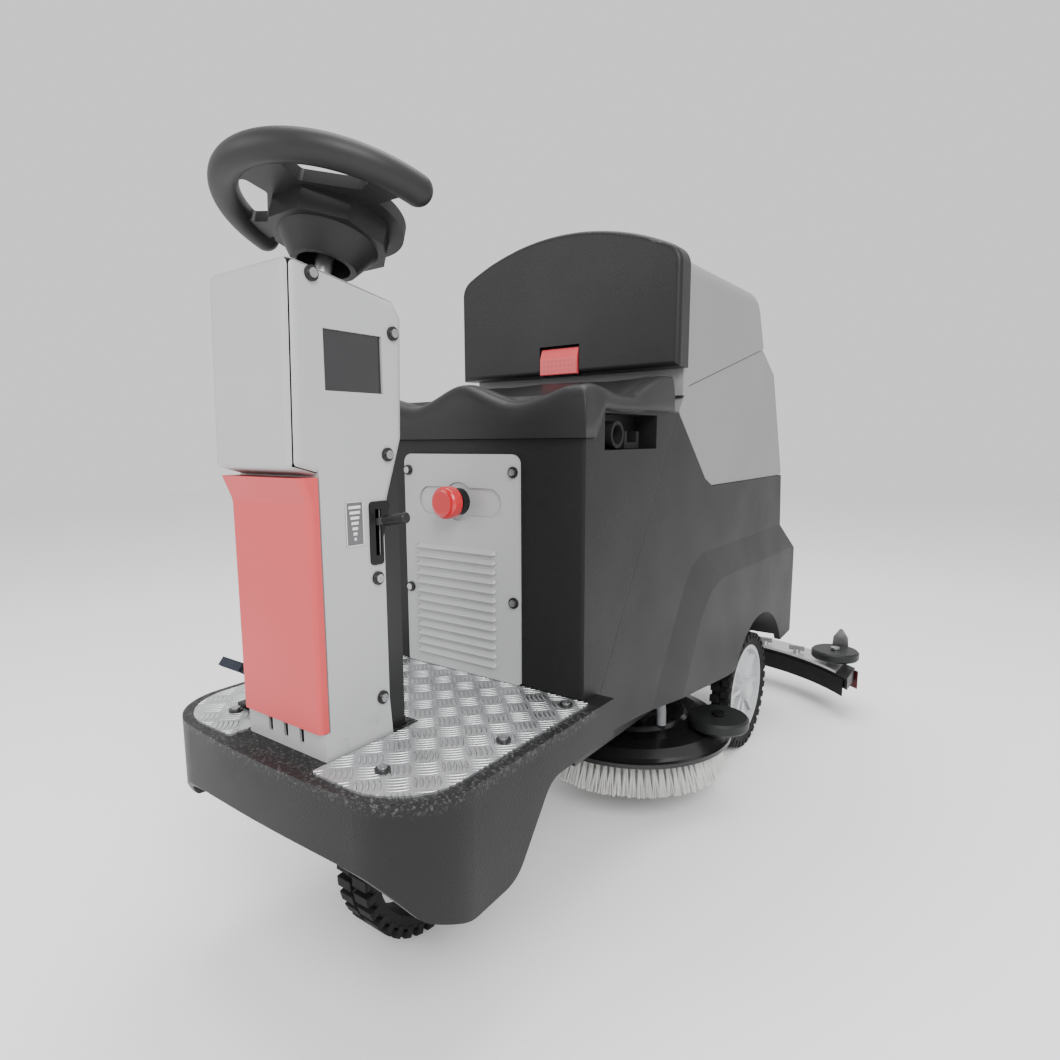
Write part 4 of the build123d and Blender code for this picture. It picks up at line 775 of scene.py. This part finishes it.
def ribbed_tube(name, route, radius, rib, depth, bore=0.0):
    """A tube whose radius rises and falls once per rib."""
    line = route_points(route)
    lengths = [0.0]
    for before, after in zip(line, line[1:]):
        lengths.append(lengths[-1] + (after - before).length)
    total = lengths[-1]
    rings = int(total / rib * 6)
    points, faces, sides = [], [], 28
    k = 0
    for ring in range(rings + 1):
        run = total * ring / rings
        while k < len(line) - 2 and lengths[k + 1] < run:
            k += 1
        share = (run - lengths[k]) / max(lengths[k + 1] - lengths[k], 1e-9)
        place = line[k].lerp(line[k + 1], min(share, 1.0))
        ahead = (line[min(k + 2, len(line) - 1)] - line[max(k - 1, 0)]).normalized()
        side = ahead.cross(Vector((1, 0.2, 0.1))).normalized()
        other = ahead.cross(side)
        size = radius - depth * (0.5 - 0.5 * math.cos(2 * math.pi * run / rib))
        for step in range(sides):
            angle = 2 * math.pi * step / sides
            points.append(place + side * size * math.cos(angle) + other * size * math.sin(angle))
    for ring in range(rings):
        for step in range(sides):
            following = (step + 1) % sides
            faces.append((ring * sides + step, ring * sides + following,
                          (ring + 1) * sides + following, (ring + 1) * sides + step))
    faces.append(tuple(range(sides)))
    faces.append(tuple(rings * sides + step for step in reversed(range(sides))))
    mesh = bpy.data.meshes.new(name)
    mesh.from_pydata(points, [], faces)
    for face in mesh.polygons:
        face.use_smooth = True
    return mesh


def make_hoses():
    low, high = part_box("solution_hose")
    start = Vector((low.x + 0.009, high.y - 0.009, low.z))
    route = [start + Vector(step) for step in ((0, 0, 0), (0, 0, 0.026), (0.006, -0.02, 0.052),
                                               (0.012, -0.04, 0.068), (0.014, -0.05, 0.098))]
    make_piece("feed_hose", ribbed_tube("feed_hose", route, 0.009, 0.0042, 0.0016),
               dark_plastic("hose_grey", (0.2, 0.205, 0.21), (0.27, 0.275, 0.28), 0.45), "deck",
               ["solution_hose"])
    low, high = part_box("vacuum_hose")
    start = Vector((0, high.y - 0.022, low.z))
    route = [start + Vector(step) for step in ((0, 0, 0), (0, 0, 0.046), (0, -0.034, 0.088), (0, -0.088, 0.104),
                                               (0, -0.146, 0.106), (0, -0.19, 0.126), (0, -0.204, 0.16))]
    make_piece("suction_hose", ribbed_tube("suction_hose", route, 0.022, 0.0085, 0.0028), rubber_paint("hose_black"),
               "squeegee_yoke", ["vacuum_hose"])


make_hoses()


# ---- Squeegee ----
# Machined aluminium plate over a black carrier, a black front blade and a maroon rear blade.
finish_part(["squeegee_beam"], steel("beam_aluminium", 0.66, 0.34), 0.0008)
finish_part(["squeegee_blade_front"], rubber_paint("blade_black"), 0.0004)


def maroon_rubber():
    paint = Paint("blade_maroon")
    paint.set("Base Color", paint.blend(paint.noise(60.0, 4.0), (0.075, 0.006, 0.01), (0.11, 0.01, 0.014)))
    paint.set("Roughness", 0.45 + 0.15 * paint.noise(150.0))
    return paint


finish_part(["squeegee_blade_rear"], maroon_rubber(), 0.0004)


# ---- Pedal and the drain hose in the side pocket ----
# Moulded rubber tread on the pedal, and a black rubber cuff.
def pedal_paint():
    paint = rubber_paint("pedal_black")
    across, along, height = paint.axes()
    rib = (height / 0.006).fraction()
    paint.relief(rib.ramp(0.2, 0.4) * (1.0 - rib.ramp(0.6, 0.8)), 0.0012)
    paint.set("Base Color", paint.blend(paint.noise(60.0), (0.014, 0.018, 0.028), (0.024, 0.03, 0.044)))
    return paint


finish_part(["foot_pedal"], pedal_paint(), 0.0015)
finish_part(["pedal_base"], black_moulding, 0.001)
finish_part(["drain_hose_end"], rubber_paint("cuff_black"), 0.001)
